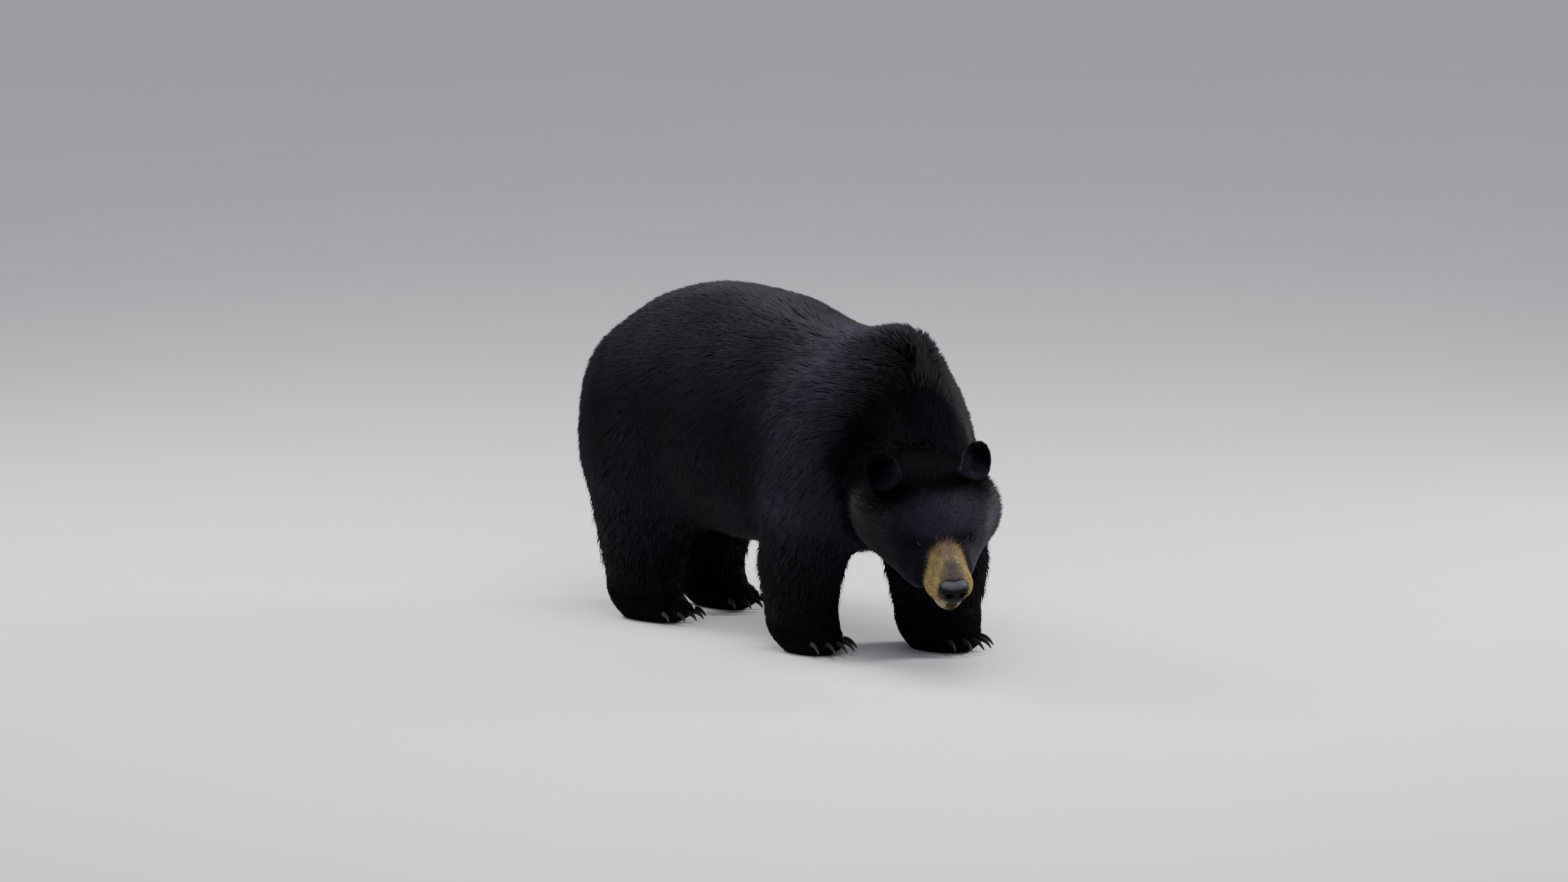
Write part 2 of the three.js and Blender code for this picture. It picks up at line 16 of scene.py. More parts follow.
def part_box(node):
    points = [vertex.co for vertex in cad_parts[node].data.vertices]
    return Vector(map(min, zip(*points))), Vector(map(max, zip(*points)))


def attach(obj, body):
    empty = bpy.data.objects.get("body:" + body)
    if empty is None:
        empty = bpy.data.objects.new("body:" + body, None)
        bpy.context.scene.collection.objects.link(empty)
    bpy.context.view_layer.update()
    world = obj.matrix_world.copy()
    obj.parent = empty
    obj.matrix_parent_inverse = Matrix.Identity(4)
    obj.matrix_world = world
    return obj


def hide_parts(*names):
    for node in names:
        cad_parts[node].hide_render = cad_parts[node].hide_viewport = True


bl_info = {
    "name": "Black bear",
    "version": (1, 0, 0),
    "blender": (4, 5, 0),
    "location": "3D View > Sidebar > Bear",
    "description": "Builds a life-size black bear with a coat of mesh tufts",
    "category": "Add Mesh",
}

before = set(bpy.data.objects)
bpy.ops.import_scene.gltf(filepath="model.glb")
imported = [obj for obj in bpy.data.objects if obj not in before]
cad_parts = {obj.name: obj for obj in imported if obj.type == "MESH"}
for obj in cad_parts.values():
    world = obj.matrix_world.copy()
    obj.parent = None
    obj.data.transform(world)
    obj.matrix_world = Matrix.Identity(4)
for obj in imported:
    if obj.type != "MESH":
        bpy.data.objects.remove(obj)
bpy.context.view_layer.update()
MM = 0.001

LIMBS = ("fore_right", "fore_left", "hind_right", "hind_left")
CLAWS = [f"{limb}_claw_{n}" for limb in LIMBS for n in range(1, 6)]


def region_of(node):
    """The part of the coat that a node of flesh belongs to."""
    kind = node.split("_")[-1]
    if kind in ("upper", "lower", "paw"):
        return kind
    if node.startswith("ear"):
        return "ear"
    return "muzzle" if kind in ("jaw", "muzzle") else node


FLESH = [
    name
    for name in sorted(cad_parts)
    if name not in CLAWS and not name.startswith("eye") and name != "nose"
]
REGIONS = ("trunk", "neck", "head", "muzzle", "ear", "upper", "lower", "paw", "tail")

# What each region's coat is like. Depth is from the tips down to the skin, and length, width and depth are
# in millimetres; density is in tufts for each square centimetre, and fray is how far the tufts stray from
# the lie of the coat, in degrees.
COATS = {
    "trunk": dict(depth=40, length=80, width=3.1, density=7.6, fray=9),
    "neck": dict(depth=38, length=66, width=3.2, density=8.6, fray=12),
    "upper": dict(depth=34, length=66, width=3.4, density=6.4, fray=11),
    "lower": dict(depth=25, length=56, width=3.2, density=5.5, fray=13),
    "tail": dict(depth=22, length=58, width=3.4, density=8.0, fray=10),
    "paw": dict(depth=7, length=20, width=2.2, density=8.5, fray=14),
    "head": dict(depth=10, length=20, width=1.9, density=19.0, fray=11),
    "muzzle": dict(depth=3.0, length=8, width=1.1, density=36.0, fray=10),
    "ear": dict(depth=6, length=15, width=1.7, density=20.0, fray=16),
}
COAT_FIELDS = ("depth", "length", "width", "density", "fray")


# ---------------------------------------------------------------- settings


class BearSkinSettings(bpy.types.PropertyGroup):
    """Sizes of the skin that the coat grows from"""

    cell: bpy.props.FloatProperty(
        name="Skin cell",
        description="Spacing of the skin's faces",
        default=0.009,
        min=0.005,
        unit="LENGTH",
    )
    colour: bpy.props.FloatVectorProperty(
        name="Skin colour",
        description="Bare skin under the coat",
        subtype="COLOR",
        default=(0.006, 0.0055, 0.006),
    )


class BearCoatSettings(bpy.types.PropertyGroup):
    """Amount and colours of the fur"""

    fullness: bpy.props.FloatProperty(
        name="Fullness",
        description="Share of the tufts that are grown",
        default=1.0,
        min=0.05,
        max=1.2,
    )
    black: bpy.props.FloatVectorProperty(
        name="Black fur",
        description="Colour of the long coat",
        subtype="COLOR",
        default=(0.0078, 0.0068, 0.0118),
    )
    tan: bpy.props.FloatVectorProperty(
        name="Tan fur",
        description="Colour of the muzzle's sides",
        subtype="COLOR",
        default=(0.255, 0.194, 0.088),
    )
    grey: bpy.props.FloatVectorProperty(
        name="Grey fur",
        description="Colour of the bridge of the muzzle",
        subtype="COLOR",
        default=(0.122, 0.098, 0.078),
    )
    pale: bpy.props.FloatVectorProperty(
        name="Pale fur",
        description="Colour of the chin and lip hairs",
        subtype="COLOR",
        default=(0.46, 0.40, 0.31),
    )
    seed: bpy.props.IntProperty(name="Seed", description="Changes where each tuft grows", default=7)


class BearStageSettings(bpy.types.PropertyGroup):
    """Camera and light round the bear"""

    aim: bpy.props.FloatVectorProperty(
        name="Aim",
        description="Point that the camera looks at",
        subtype="TRANSLATION",
        default=(-0.110, -0.020, 0.549),
    )
    azimuth: bpy.props.FloatProperty(
        name="Azimuth", description="Way round from the bear's front, in degrees", default=-42.0
    )
    elevation: bpy.props.FloatProperty(
        name="Elevation", description="Height of the view, in degrees", default=10.0
    )
    distance: bpy.props.FloatProperty(
        name="Distance", description="From the aim to the camera", default=29.107, unit="LENGTH"
    )
    lens: bpy.props.FloatProperty(name="Lens", description="Focal length in millimetres", default=250.0)
    floor: bpy.props.FloatVectorProperty(
        name="Floor", description="Colour of the floor", subtype="COLOR", default=(0.72, 0.71, 0.69)
    )


# ---------------------------------------------------------------- small helpers


def smooth(value, low, high):
    """0 below low, 1 above high, and an easy curve between."""
    share = np.clip((value - low) / (high - low), 0, 1)
    return share * share * (3 - 2 * share)


def unit(vectors):
    return vectors / np.maximum(np.linalg.norm(vectors, axis=-1, keepdims=True), 1e-9)


def box_centre(node):
    low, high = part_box(node)
    return (np.array(low) + np.array(high)) / 2


def bell(distance, width):
    """1 at no distance, falling away over about twice the width."""
    return np.exp(-((distance / width) ** 2) / 2)


def wander(points, size, seed):
    """A slowly changing value from -1 to 1 over space, with features about `size` metres across."""
    rng = np.random.default_rng(seed)
    waves = rng.normal(size=(6, 3)) * (2.2 / size)
    shifts = rng.uniform(0, 2 * math.pi, 6)
    return np.sin(points @ waves.T + shifts).mean(axis=1) * 1.7


# The head has a frame of its own, in millimetres: its origin is midway between the eyes, X runs to the bear's
# left, and -Y runs out along the muzzle.
EYES_BEHIND = 13.2  # from the origin to the line of the eyes, out along the muzzle
NOSE_IN_HEAD = np.array((0.0, -143.0, -82.0))
NOSE_RADII = np.array((38.5, 27.0, 33.5))
LIP_LINE_Z = -124.0


def head_axes():
    left, right = box_centre("eye_left"), box_centre("eye_right")
    across = unit(left - right)
    to_nose = box_centre("nose") - (left + right) / 2
    to_nose = unit(to_nose - across * (to_nose @ across))
    down = math.atan2(-NOSE_IN_HEAD[2], -NOSE_IN_HEAD[1] - EYES_BEHIND)
    side = np.cross(to_nose, across)
    back = -(to_nose * math.cos(down) + side * math.sin(down))
    up = np.cross(across, back)
    origin = (left + right) / 2 + back * EYES_BEHIND * MM
    return origin, np.stack([across, back, up])


HEAD_ORIGIN, HEAD_AXES = head_axes()


def in_head(points):
    """Points of the world in the head's frame, in millimetres."""
    return (points - HEAD_ORIGIN) @ HEAD_AXES.T / MM


def from_head(points):
    return HEAD_ORIGIN + np.asarray(points) * MM @ HEAD_AXES


def mesh_object(name, points, faces, smooth_shaded=True):
    """A new object at the origin from arrays of points and of faces that all have one number of corners."""
    mesh = bpy.data.meshes.new(name)
    count, corners = faces.shape
    mesh.vertices.add(len(points))
    mesh.vertices.foreach_set("co", np.ascontiguousarray(points, dtype=np.float32).ravel())
    mesh.loops.add(count * corners)
    mesh.loops.foreach_set("vertex_index", np.ascontiguousarray(faces, dtype=np.int32).ravel())
    mesh.polygons.add(count)
    mesh.polygons.foreach_set("loop_start", np.arange(count, dtype=np.int32) * corners)
    mesh.polygons.foreach_set("use_smooth", np.full(count, smooth_shaded))
    mesh.update(calc_edges=True)
    made = bpy.data.objects.new(name, mesh)
    bpy.context.collection.objects.link(made)
    return made


def points_of(mesh):
    points = np.empty(len(mesh.vertices) * 3, dtype=np.float32)
    mesh.vertices.foreach_get("co", points)
    return points.reshape(-1, 3).astype(np.float64)


def store(mesh, name, values):
    """Keeps a number or a colour for each vertex, for the materials to read."""
    if values.ndim == 1:
        mesh.attributes.new(name, "FLOAT", "POINT").data.foreach_set("value", values.astype(np.float32))
        return
    padded = np.concatenate([values, np.ones((len(values), 1))], axis=1).astype(np.float32)
    mesh.attributes.new(name, "FLOAT_COLOR", "POINT").data.foreach_set("color", padded.ravel())


class Surface:
    """A triangulated copy of a mesh as arrays, with what its vertices share with their neighbours."""

    def __init__(self, mesh):
        self.points = points_of(mesh)
        mesh.calc_loop_triangles()
        count = len(mesh.loop_triangles)
        self.triangles = np.empty(count * 3, dtype=np.int32)
        mesh.loop_triangles.foreach_get("vertices", self.triangles)
        self.triangles = self.triangles.reshape(-1, 3)
        self.corners = np.empty(count * 3, dtype=np.int32)
        mesh.loop_triangles.foreach_get("loops", self.corners)
        self.corners = self.corners.reshape(-1, 3)
        edges = np.empty(len(mesh.edges) * 2, dtype=np.int32)
        mesh.edges.foreach_get("vertices", edges)
        edges = edges.reshape(-1, 2)
        self.here = np.concatenate([edges[:, 0], edges[:, 1]])
        self.there = np.concatenate([edges[:, 1], edges[:, 0]])
        self.degree = np.maximum(np.bincount(self.here, minlength=len(self.points)), 1)

    def averaged(self, values):
        """Each vertex's value as the mean of its neighbours'."""
        count = len(values)
        columns = values.reshape(count, -1)[self.there].T
        sums = [np.bincount(self.here, column, count) for column in columns]
        return (np.stack(sums, axis=1) / self.degree[:, None]).reshape(values.shape)

    def spread(self, values, rounds):
        for _ in range(rounds):
            values = (values + self.averaged(values)) / 2
        return values

    def relaxed(self, rounds, share):
        """Irons out facets and keeps the volume, where share is 1."""
        for n in range(rounds * 2):
            step = 0.6 if n % 2 == 0 else -0.61
            self.points += (self.averaged(self.points) - self.points) * step * share[:, None]

    def normals(self):
        a, b, c = (self.points[self.triangles[:, n]] for n in range(3))
        facing = np.cross(b - a, c - a)
        total = np.zeros_like(self.points)
        for corner in range(3):
            for axis in range(3):
                total[:, axis] += np.bincount(self.triangles[:, corner], facing[:, axis], len(self.points))
        return unit(total)

    def areas(self):
        a, b, c = (self.points[self.triangles[:, n]] for n in range(3))
        return np.linalg.norm(np.cross(b - a, c - a), axis=1) / 2


# ---------------------------------------------------------------- markings


def markings(points, stray=0.0):
    """The colour of the coat and of the skin at each point: black, but for the muzzle and chin. Stray moves a
    tuft's place in the pattern by some millimetres, so that the colours mingle at their edges."""
    coat = bpy.context.scene.bear_coat
    black, tan, grey, pale = (np.array(c) for c in (coat.black, coat.tan, coat.grey, coat.pale))
    x, y, z = in_head(points).T
    ragged = wander(points, 0.010, 3) * 3.0 + wander(points, 0.004, 4) * 2.0 + stray
    # Black fur ends just in front of the eyes, and further out along the muzzle towards the lips.
    ahead = -42 + 0.45 * np.clip(z + 20, -68, 0) - y
    muzzle = smooth(ahead + ragged, -7, 12) * smooth(60 - 0.8 * (y + 42) - np.abs(x) + ragged, -4, 10)
    # The bridge is greyer than the sides, and darkest just behind the nose.
    top = smooth(z + 0.34 * (-y - 40) + ragged * 0.6, -42, -18)
    bridge = bell(x, 19) * top * smooth(-y + ragged, 30, 55)
    smoky = bell(x, 17 + smooth(-y, 95, 130) * 9) * top * smooth(-y + ragged, 84, 108)
    colour = np.broadcast_to(tan, (len(x), 3)) * (1 + 0.22 * wander(points, 0.02, 5))[:, None]
    colour = colour + (grey - colour) * (bridge * 0.85)[:, None]
    colour += (grey * (0.45, 0.50, 0.61) - colour) * (smoky * 0.85)[:, None]
    # Pale hairs hang from both sides of the lips; the middle of the lips and the chin are dark.
    side = smooth(np.abs(x) + stray, 11, 20)
    chin = smooth(-y, 70, 92) * smooth(-z, 112, 124)
    colour += (pale - colour) * (chin * side * 0.85)[:, None]
    colour += (grey * 0.16 - colour) * (chin * (1 - side) * 0.9)[:, None]
    throat = smooth(-z - 0.25 * np.abs(x) + stray * 0.5, 148, 162)
    muzzle *= 1 - throat
    # The black fur carries the painted light and shade of body_tone.
    fur = black * body_tone(points)
    colour = fur + (colour - fur) * muzzle[:, None]
    # The lips' edges are black, and so is the rim of the nose.
    lips = bell(z - lip_height(y), 3.2) * smooth(-y, 20, 40)
    rim = smooth(1.16 - nose_distance(in_head(points)), 0, 0.08)
    colour += (black * 1.3 - colour) * np.maximum(lips * 0.85, rim * 0.8)[:, None]
    return np.clip(colour, 0, 1)


# How much lighter or darker than the plain black fur each part of the coat is: painted light on the back,
# behind the shoulders, on the brows and on the ears, and painted shade on the flank, the neck, the crown, the
# throat, one cheek and round the eyes.
BODY_TONE = 1.15
BACK_PAINTED_LIGHT = 1.1
SHOULDER_PAINTED_LIGHT = 1.9
FLANK_SHADE = 0.4
NECK_SHADE = 0.8
LEG_TONE = 0.4
FACE_TONE = 1.8
CROWN_SHADE = 1.68
THROAT_SHADE = 0.25
EAR_LIGHT = 2.5
BROW_LIGHT = 0.9
CHEEK_SHADE = 0.75
SOCKET_SHADE = 1.25


def body_tone(points):
    """How light the black coat is, as a colour to multiply it by: painted light along the back and behind the
    shoulders, painted shade on the flank, the crest of the hump, the nape, the crown and round the eyes, and
    darker on the legs."""
    _x, y, z = points.T
    tone = BODY_TONE + 0.16 * wander(points, 0.16, 31) + 0.12 * wander(points, 0.05, 32)
    # Painted light along the back and behind the shoulders, and painted shade behind the ribs and behind the
    # shoulder.
    back = smooth(z, 0.60, 0.86) * smooth(y, -0.36, -0.14)
    behind_ribs = bell(np.hypot(y - 0.26, z - 0.67), 0.10)
    behind_shoulder = bell(np.hypot(y + 0.02, (z - 0.55) / 1.6), 0.07)
    tone += back * BACK_PAINTED_LIGHT + shoulder_share(points) * SHOULDER_PAINTED_LIGHT
    tone -= (behind_ribs + 0.7 * behind_shoulder) * FLANK_SHADE
    # Painted shade on the nape and the crest of the hump.
    tone *= 1 - NECK_SHADE * smooth(-y, 0.33, 0.43) * smooth(z, 0.30, 0.50)
    tone *= LEG_TONE + (1 - LEG_TONE) * smooth(z, 0.12, 0.45)
    on_head = smooth(-np.linalg.norm(in_head(points) - (0, 60, 0), axis=1), -215, -170)
    tone += (face_tone(points) - tone) * on_head
    # The painted light on the back is browner and less blue.
    tint = 1 + back[:, None] * (0.10, 0.07, -0.10)
    tint += wander(points, 0.14, 33)[:, None] * (0.08, -0.03, 0.12)
    return tone[:, None] * tint


def face_tone(points):
    """The tone on the head: painted light on the brows over painted shade in the sockets, painted shade on the
    crown, the throat and one cheek, and painted light on the ears, brightest on their rims.
    """
    where = in_head(points)
    across, behind, above = where.T
    tone = FACE_TONE - CROWN_SHADE * crown_share(points) + EAR_LIGHT * ear_share(points)
    tone -= THROAT_SHADE * smooth(behind - above, 60, 150) + CHEEK_SHADE * smooth(-across, 45, 120)
    # Painted light on the brows.
    brow = bell(np.hypot((np.abs(across) - 50) / 1.6, above - 20), 10) * smooth(-behind, -40, -10)
    tone += brow * BROW_LIGHT
    for centre, _look, _across, _up in eye_frames().values():
        tone -= SOCKET_SHADE * bell(np.linalg.norm(where - centre, axis=1), 17)
    return np.maximum(tone, 0.1)


def shoulder_share(points):
    """1 on the band behind each shoulder, where the coat is wavy and carries painted light."""
    _x, y, z = points.T
    band = smooth(-y, 0.06, 0.18) * (1 - smooth(-y, 0.20, 0.40))
    return band * smooth(z, 0.30, 0.46) * smooth(1 - z, 0.10, 0.22)


def crown_share(points):
    """1 on the dull black fur of the crown, the ears and the nape; 0 on the face."""
    _across, behind, above = in_head(points).T
    return smooth(behind + 0.5 * above, 45, 130) * smooth(above, -25, 55)


def ear_share(points):
    """1 on the ears, and 2 along their upper rims, a painted highlight where the fine hairs catch the light."""
    share = np.zeros(len(points))
    for node in ("ear_left", "ear_right"):
        away = points - box_centre(node)
        far = np.linalg.norm(away, axis=1)
        share += smooth(-far, -0.064, -0.050) + 2 * bell(far - 0.058, 0.006) * smooth(away[:, 2], 0.015, 0.04)
    return share


def nose_distance(where):
    """1 on the nose pad, less inside it and more outside, in the head's frame."""
    return np.linalg.norm((where - NOSE_IN_HEAD) / NOSE_RADII, axis=1)


def lip_height(y):
    """How high the line of the lips runs, from under the nose back to the corner of the mouth."""
    return LIP_LINE_Z + 20 * smooth(y, -105, -25) - 3 * smooth(-y, 118, 140)


# ---------------------------------------------------------------- skin

skin = {}  # the skin's arrays, for the operators that grow the coat on it
EYE_RADIUS = 12.0
EYE_SET_BACK = 2.0
LID_WIDTH = 11.4
UPPER_LID = 6.2
LOWER_LID = 7.2
EYE_TILT = (math.cos(math.radians(12)), math.sin(math.radians(12)))
EAR_BOWL = 0.009


def eye_frames():
    """Each eye's centre, with the way it looks, its outward and its upward direction, in the head's frame."""
    frames = {}
    for side, node in ((1, "eye_left"), (-1, "eye_right")):
        look = unit(np.array((side * 0.48, -1.0, 0.10)))
        across = unit(np.cross(look, (0, 0, 1)))
        across *= np.sign(across[0]) * side
        up = unit(np.array((0, 0, 1)) - look * look[2])
        lean = across * EYE_TILT[0] + up * EYE_TILT[1]
        up = up * EYE_TILT[0] - across * EYE_TILT[1]
        centre = in_head(box_centre(node)[None])[0] - look * EYE_SET_BACK - (side * 2.5, 0, 1.0)
        frames[side] = (centre, look, lean, up)
    return frames


def joined_flesh():
    """One mesh of all the flesh, with each solid grown a little so that the thin cuts close."""
    whole = bmesh.new()
    for name in FLESH + ["eye_left", "eye_right", "nose"]:
        part = bmesh.new()
        part.from_mesh(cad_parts[name].data)
        bmesh.ops.remove_doubles(part, verts=part.verts, dist=1e-5)
        part.normal_update()
        for vert in part.verts:
            vert.co += vert.normal * 0.0006
        grown = bpy.data.meshes.new("flesh")
        part.to_mesh(grown)
        part.free()
        whole.from_mesh(grown)
        bpy.data.meshes.remove(grown)
    mesh = bpy.data.meshes.new("flesh")
    whole.to_mesh(mesh)
    whole.free()
    return mesh


def remeshed(mesh, cell):
    """The mesh as one closed skin of even quads, without what lies inside it."""
    lump = bpy.data.objects.new("lump", mesh)
    bpy.context.collection.objects.link(lump)
    remesh = lump.modifiers.new("cells", "REMESH")
    remesh.mode = "VOXEL"
    remesh.voxel_size = cell
    depsgraph = bpy.context.evaluated_depsgraph_get()
    even = bpy.data.meshes.new_from_object(lump.evaluated_get(depsgraph))
    bpy.data.objects.remove(lump)
    keep_largest_island(even)
    return even


def keep_largest_island(mesh):
    """Deletes all but the largest piece that hangs together."""
    body = bmesh.new()
    body.from_mesh(mesh)
    left = set(body.verts)
    islands = []
    while left:
        waiting = {left.pop()}
        island = set()
        while waiting:
            island |= waiting
            waiting = {edge.other_vert(vert) for vert in waiting for edge in vert.link_edges} & left
            left -= waiting
        islands.append(island)
    islands.remove(max(islands, key=len))
    extra = [vert for island in islands for vert in island]
    bmesh.ops.delete(body, geom=extra, context="VERTS")
    body.to_mesh(mesh)
    body.free()


def refined(mesh, wanted):
    """Splits the faces whose middles are wanted into four."""
    body = bmesh.new()
    body.from_mesh(mesh)
    middles = np.array([face.calc_center_median() for face in body.faces])
    chosen = wanted(middles)
    edges = {edge for face, pick in zip(body.faces, chosen) if pick for edge in face.edges}
    bmesh.ops.subdivide_edges(body, edges=list(edges), cuts=1, use_grid_fill=True)
    body.to_mesh(mesh)
    body.free()


def near_face(middles):
    x, y, z = in_head(middles).T
    return (y < 75) & (y > -200) & (np.abs(x) < 150) & (z < 110) & (z > -175)


def near_features(middles):
    """The muzzle and the rims of the eyes, where the skin is finest."""
    where = in_head(middles)
    near = where[:, 1] < -22
    for centre, _look, _across, _up in eye_frames().values():
        near |= np.linalg.norm(where - centre, axis=1) < 27
    return near & (where[:, 1] > -220) & (np.abs(where[:, 0]) < 110) & (np.abs(where[:, 2] + 60) < 110)


def near_ears(middles):
    near = np.zeros(len(middles), dtype=bool)
    for node in ("ear_left", "ear_right"):
        low, high = (np.array(corner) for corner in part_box(node))
        near |= ((middles > low - 0.01) & (middles < high + 0.01)).all(axis=1)
    return near


def near_toes(middles):
    near = np.zeros(len(middles), dtype=bool)
    for claw in CLAWS:
        near |= np.linalg.norm(middles - box_centre(claw), axis=1) < 0.05
    return near


def region_shares(surface):
    """How much each vertex belongs to each region, softly, by the nearest solid."""
    points, faces, labels = [], [], []
    for name in FLESH:
        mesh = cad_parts[name].data
        mesh.calc_loop_triangles()
        first = len(points)
        points.extend(vert.co for vert in mesh.vertices)
        faces.extend([first + v for v in tri.vertices] for tri in mesh.loop_triangles)
        labels.extend([REGIONS.index(region_of(name))] * len(mesh.loop_triangles))
    tree = BVHTree.FromPolygons([tuple(p) for p in points], faces)
    nearest = [tree.find_nearest(point)[2] for point in surface.points.tolist()]
    shares = np.eye(len(REGIONS))[np.array(labels)[nearest]]
    return surface.spread(shares, 5)


def coat_fields(surface, shares):
    """Depth, length, width, density and fray of the coat at each vertex, in metres and square metres."""
    values = {}
    for field in COAT_FIELDS:
        values[field] = shares @ np.array([COATS[region][field] for region in REGIONS], dtype=float)
    x, y, z = in_head(surface.points).T
    head = shares[:, REGIONS.index("head")]
    # The face is short-haired; the hair grows out over the crown, and most of all on the cheeks and ruffs.
    crown = smooth(y, -15, 95)
    cheeks = smooth(y, 70, 190) * np.maximum(smooth(np.abs(x), 75, 125), smooth(-z, 30, 110))
    values["depth"] += head * (crown * 8 + cheeks * 18 - 5.5)
    values["length"] += head * (crown * 10 + cheeks * 30 - 9)
    values["width"] += head * (crown * 0.3 + cheeks * 1.0 - 0.6)
    values["density"] += head * ((1 - crown) * 15 - cheeks * 8)
    body = sum(shares[:, REGIONS.index(region)] for region in ("trunk", "neck", "upper", "lower"))
    for field in ("depth", "length", "width"):
        values[field] = surface.spread(values[field], 12) * body + values[field] * (1 - body)
    # The long hair behind the wrists, elbows and hocks.
    legs = shares[:, REGIONS.index("lower")] + 0.5 * shares[:, REGIONS.index("upper")]
    values["length"] *= 1 + 0.4 * legs * smooth(surface.normals()[:, 1], 0.1, 0.8)
    # The soles stay where they rest.
    values["depth"] *= smooth(surface.points[:, 2], 0.001, 0.03)
    for field in ("depth", "length", "width"):
        values[field] *= MM
    values["density"] *= 1e4
    return values


# The forms worked into both sides of the face: the middle of each in the head's frame, how the distance
# from it is scaled along each axis, its width, and how far it is raised, in millimetres.
FACE_FORMS = {
    "brow": ((54, 6, 24), (1.5, 1, 0.8), 13, 3.2),
    "inner corner": ((36, -26, -4), (0.8, 1.2, 1.0), 13, -3.4),
    "under the eye": ((66, -16, -26), (1.6, 1, 0.7), 11, -1.6),
    "cheekbone": ((88, 28, -34), (1.2, 1.4, 0.9), 22, 2.0),
    "lip": ((36, -92, -96), (0.8, 1.9, 1.0), 16, 1.6),
}


def sculpt_face(surface):
    """Presses the sockets and the lips into the skin, raises the brows and wraps the lids round the eyes."""
    where = in_head(surface.points)
    normals = surface.normals() @ HEAD_AXES.T
    x, y, z = where.T
    on_head = smooth(-np.linalg.norm(where, axis=1), -330, -300)
    push = np.zeros(len(where))
    for side in (1, -1):
        for middle, scale, width, lift in FACE_FORMS.values():
            away = where - np.array(middle) * (side, 1, 1)
            push += lift * bell(np.linalg.norm(away / scale, axis=1), width)
    furrow = bell(x, 7) * smooth(y, -8, 25) * smooth(95 - y, 0, 40) * smooth(z, 0, 30)
    mouth = bell(z - lip_height(y), 2.6) * smooth(-y, 14, 34)
    push += -furrow * 1.6 - mouth * 3.6
    where += normals * (push * on_head)[:, None]
    for centre, look, across, up in eye_frames().values():
        away = where - centre
        reach = np.linalg.norm(away, axis=1)
        facing = away @ look
        a, b = away @ across, away @ up
        lid = np.where(b > 0, UPPER_LID, LOWER_LID) * (1 - np.clip(a / LID_WIDTH, -1, 1) ** 2)
        gap = (np.abs(b) - lid) / 3
        gap = np.where(np.abs(a) > LID_WIDTH, np.maximum(gap, (np.abs(a) - LID_WIDTH) / 3), gap)
        near = (facing > 0) & (reach < 30)
        # Outside the opening the lid lies over the ball; inside, the skin drops away behind it.
        fold = EYE_RADIUS + 1.5 + 2.2 * bell(gap - 1.6, 0.9) * (b > 0)
        inside = EYE_RADIUS - 4.0
        hold = smooth(30 - reach, 0, 12) * smooth(4.2 - gap, 0, 3.0)
        target = np.where(gap < 0, inside, np.maximum(fold, np.minimum(reach, fold + 0.8)))
        change = np.where(near, (target - reach) * np.where(gap < 0, 1.0, hold), 0)
        where += unit(away) * change[:, None]
    # The skin draws in behind the nose pad, so that the pad stands proud of it.
    distance = nose_distance(where)
    pulled = np.minimum(distance, 0.45 + 0.73 * smooth(distance, 0.90, 1.18))
    drawn = np.where(distance < 1.18, pulled, distance)
    where = NOSE_IN_HEAD + (where - NOSE_IN_HEAD) * (drawn / distance)[:, None]
    surface.points = from_head(where)


def sculpt_ears(surface):
    """Hollows the front of each ear, inside its furry rim."""
    normals = surface.normals()
    for node in ("ear_left", "ear_right"):
        solid = points_of(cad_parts[node].data)
        middle = box_centre(node)
        flat = np.linalg.svd(solid - solid.mean(axis=0), full_matrices=False)[2][2]
        flat *= -np.sign(flat @ HEAD_AXES[1])
        away = surface.points - middle
        out = np.linalg.norm(away - np.outer(away @ flat, flat), axis=1)
        facing = smooth(normals @ flat, 0.1, 0.6) * smooth(away @ flat, -0.01, 0.01)
        bowl = smooth(0.034 - out, 0.0, 0.016) * facing
        surface.points -= flat * (bowl * EAR_BOWL)[:, None]


def sculpt_toes(surface):
    """Five soft toes at the front of each paw, with a cleft between each pair."""
    normals = surface.normals()
    for limb in LIMBS:
        roots = np.array([box_centre(f"{limb}_claw_{n}") for n in range(1, 6)]) + (0, 0.022, 0.002)
        for root in roots:
            away = surface.points - root
            toe = bell(np.linalg.norm(away * (1.25, 0.6, 0.9), axis=1), 0.010) * 0.006
            surface.points += normals * toe[:, None]
        for first, second in zip(roots, roots[1:]):
            away = surface.points - (first + second) / 2
            cleft = bell(np.linalg.norm(away * (2.6, 0.7, 0.7), axis=1), 0.010) * 0.004
            surface.points -= normals * cleft[:, None]
    surface.points[:, 2] = np.maximum(surface.points[:, 2], 0.0)


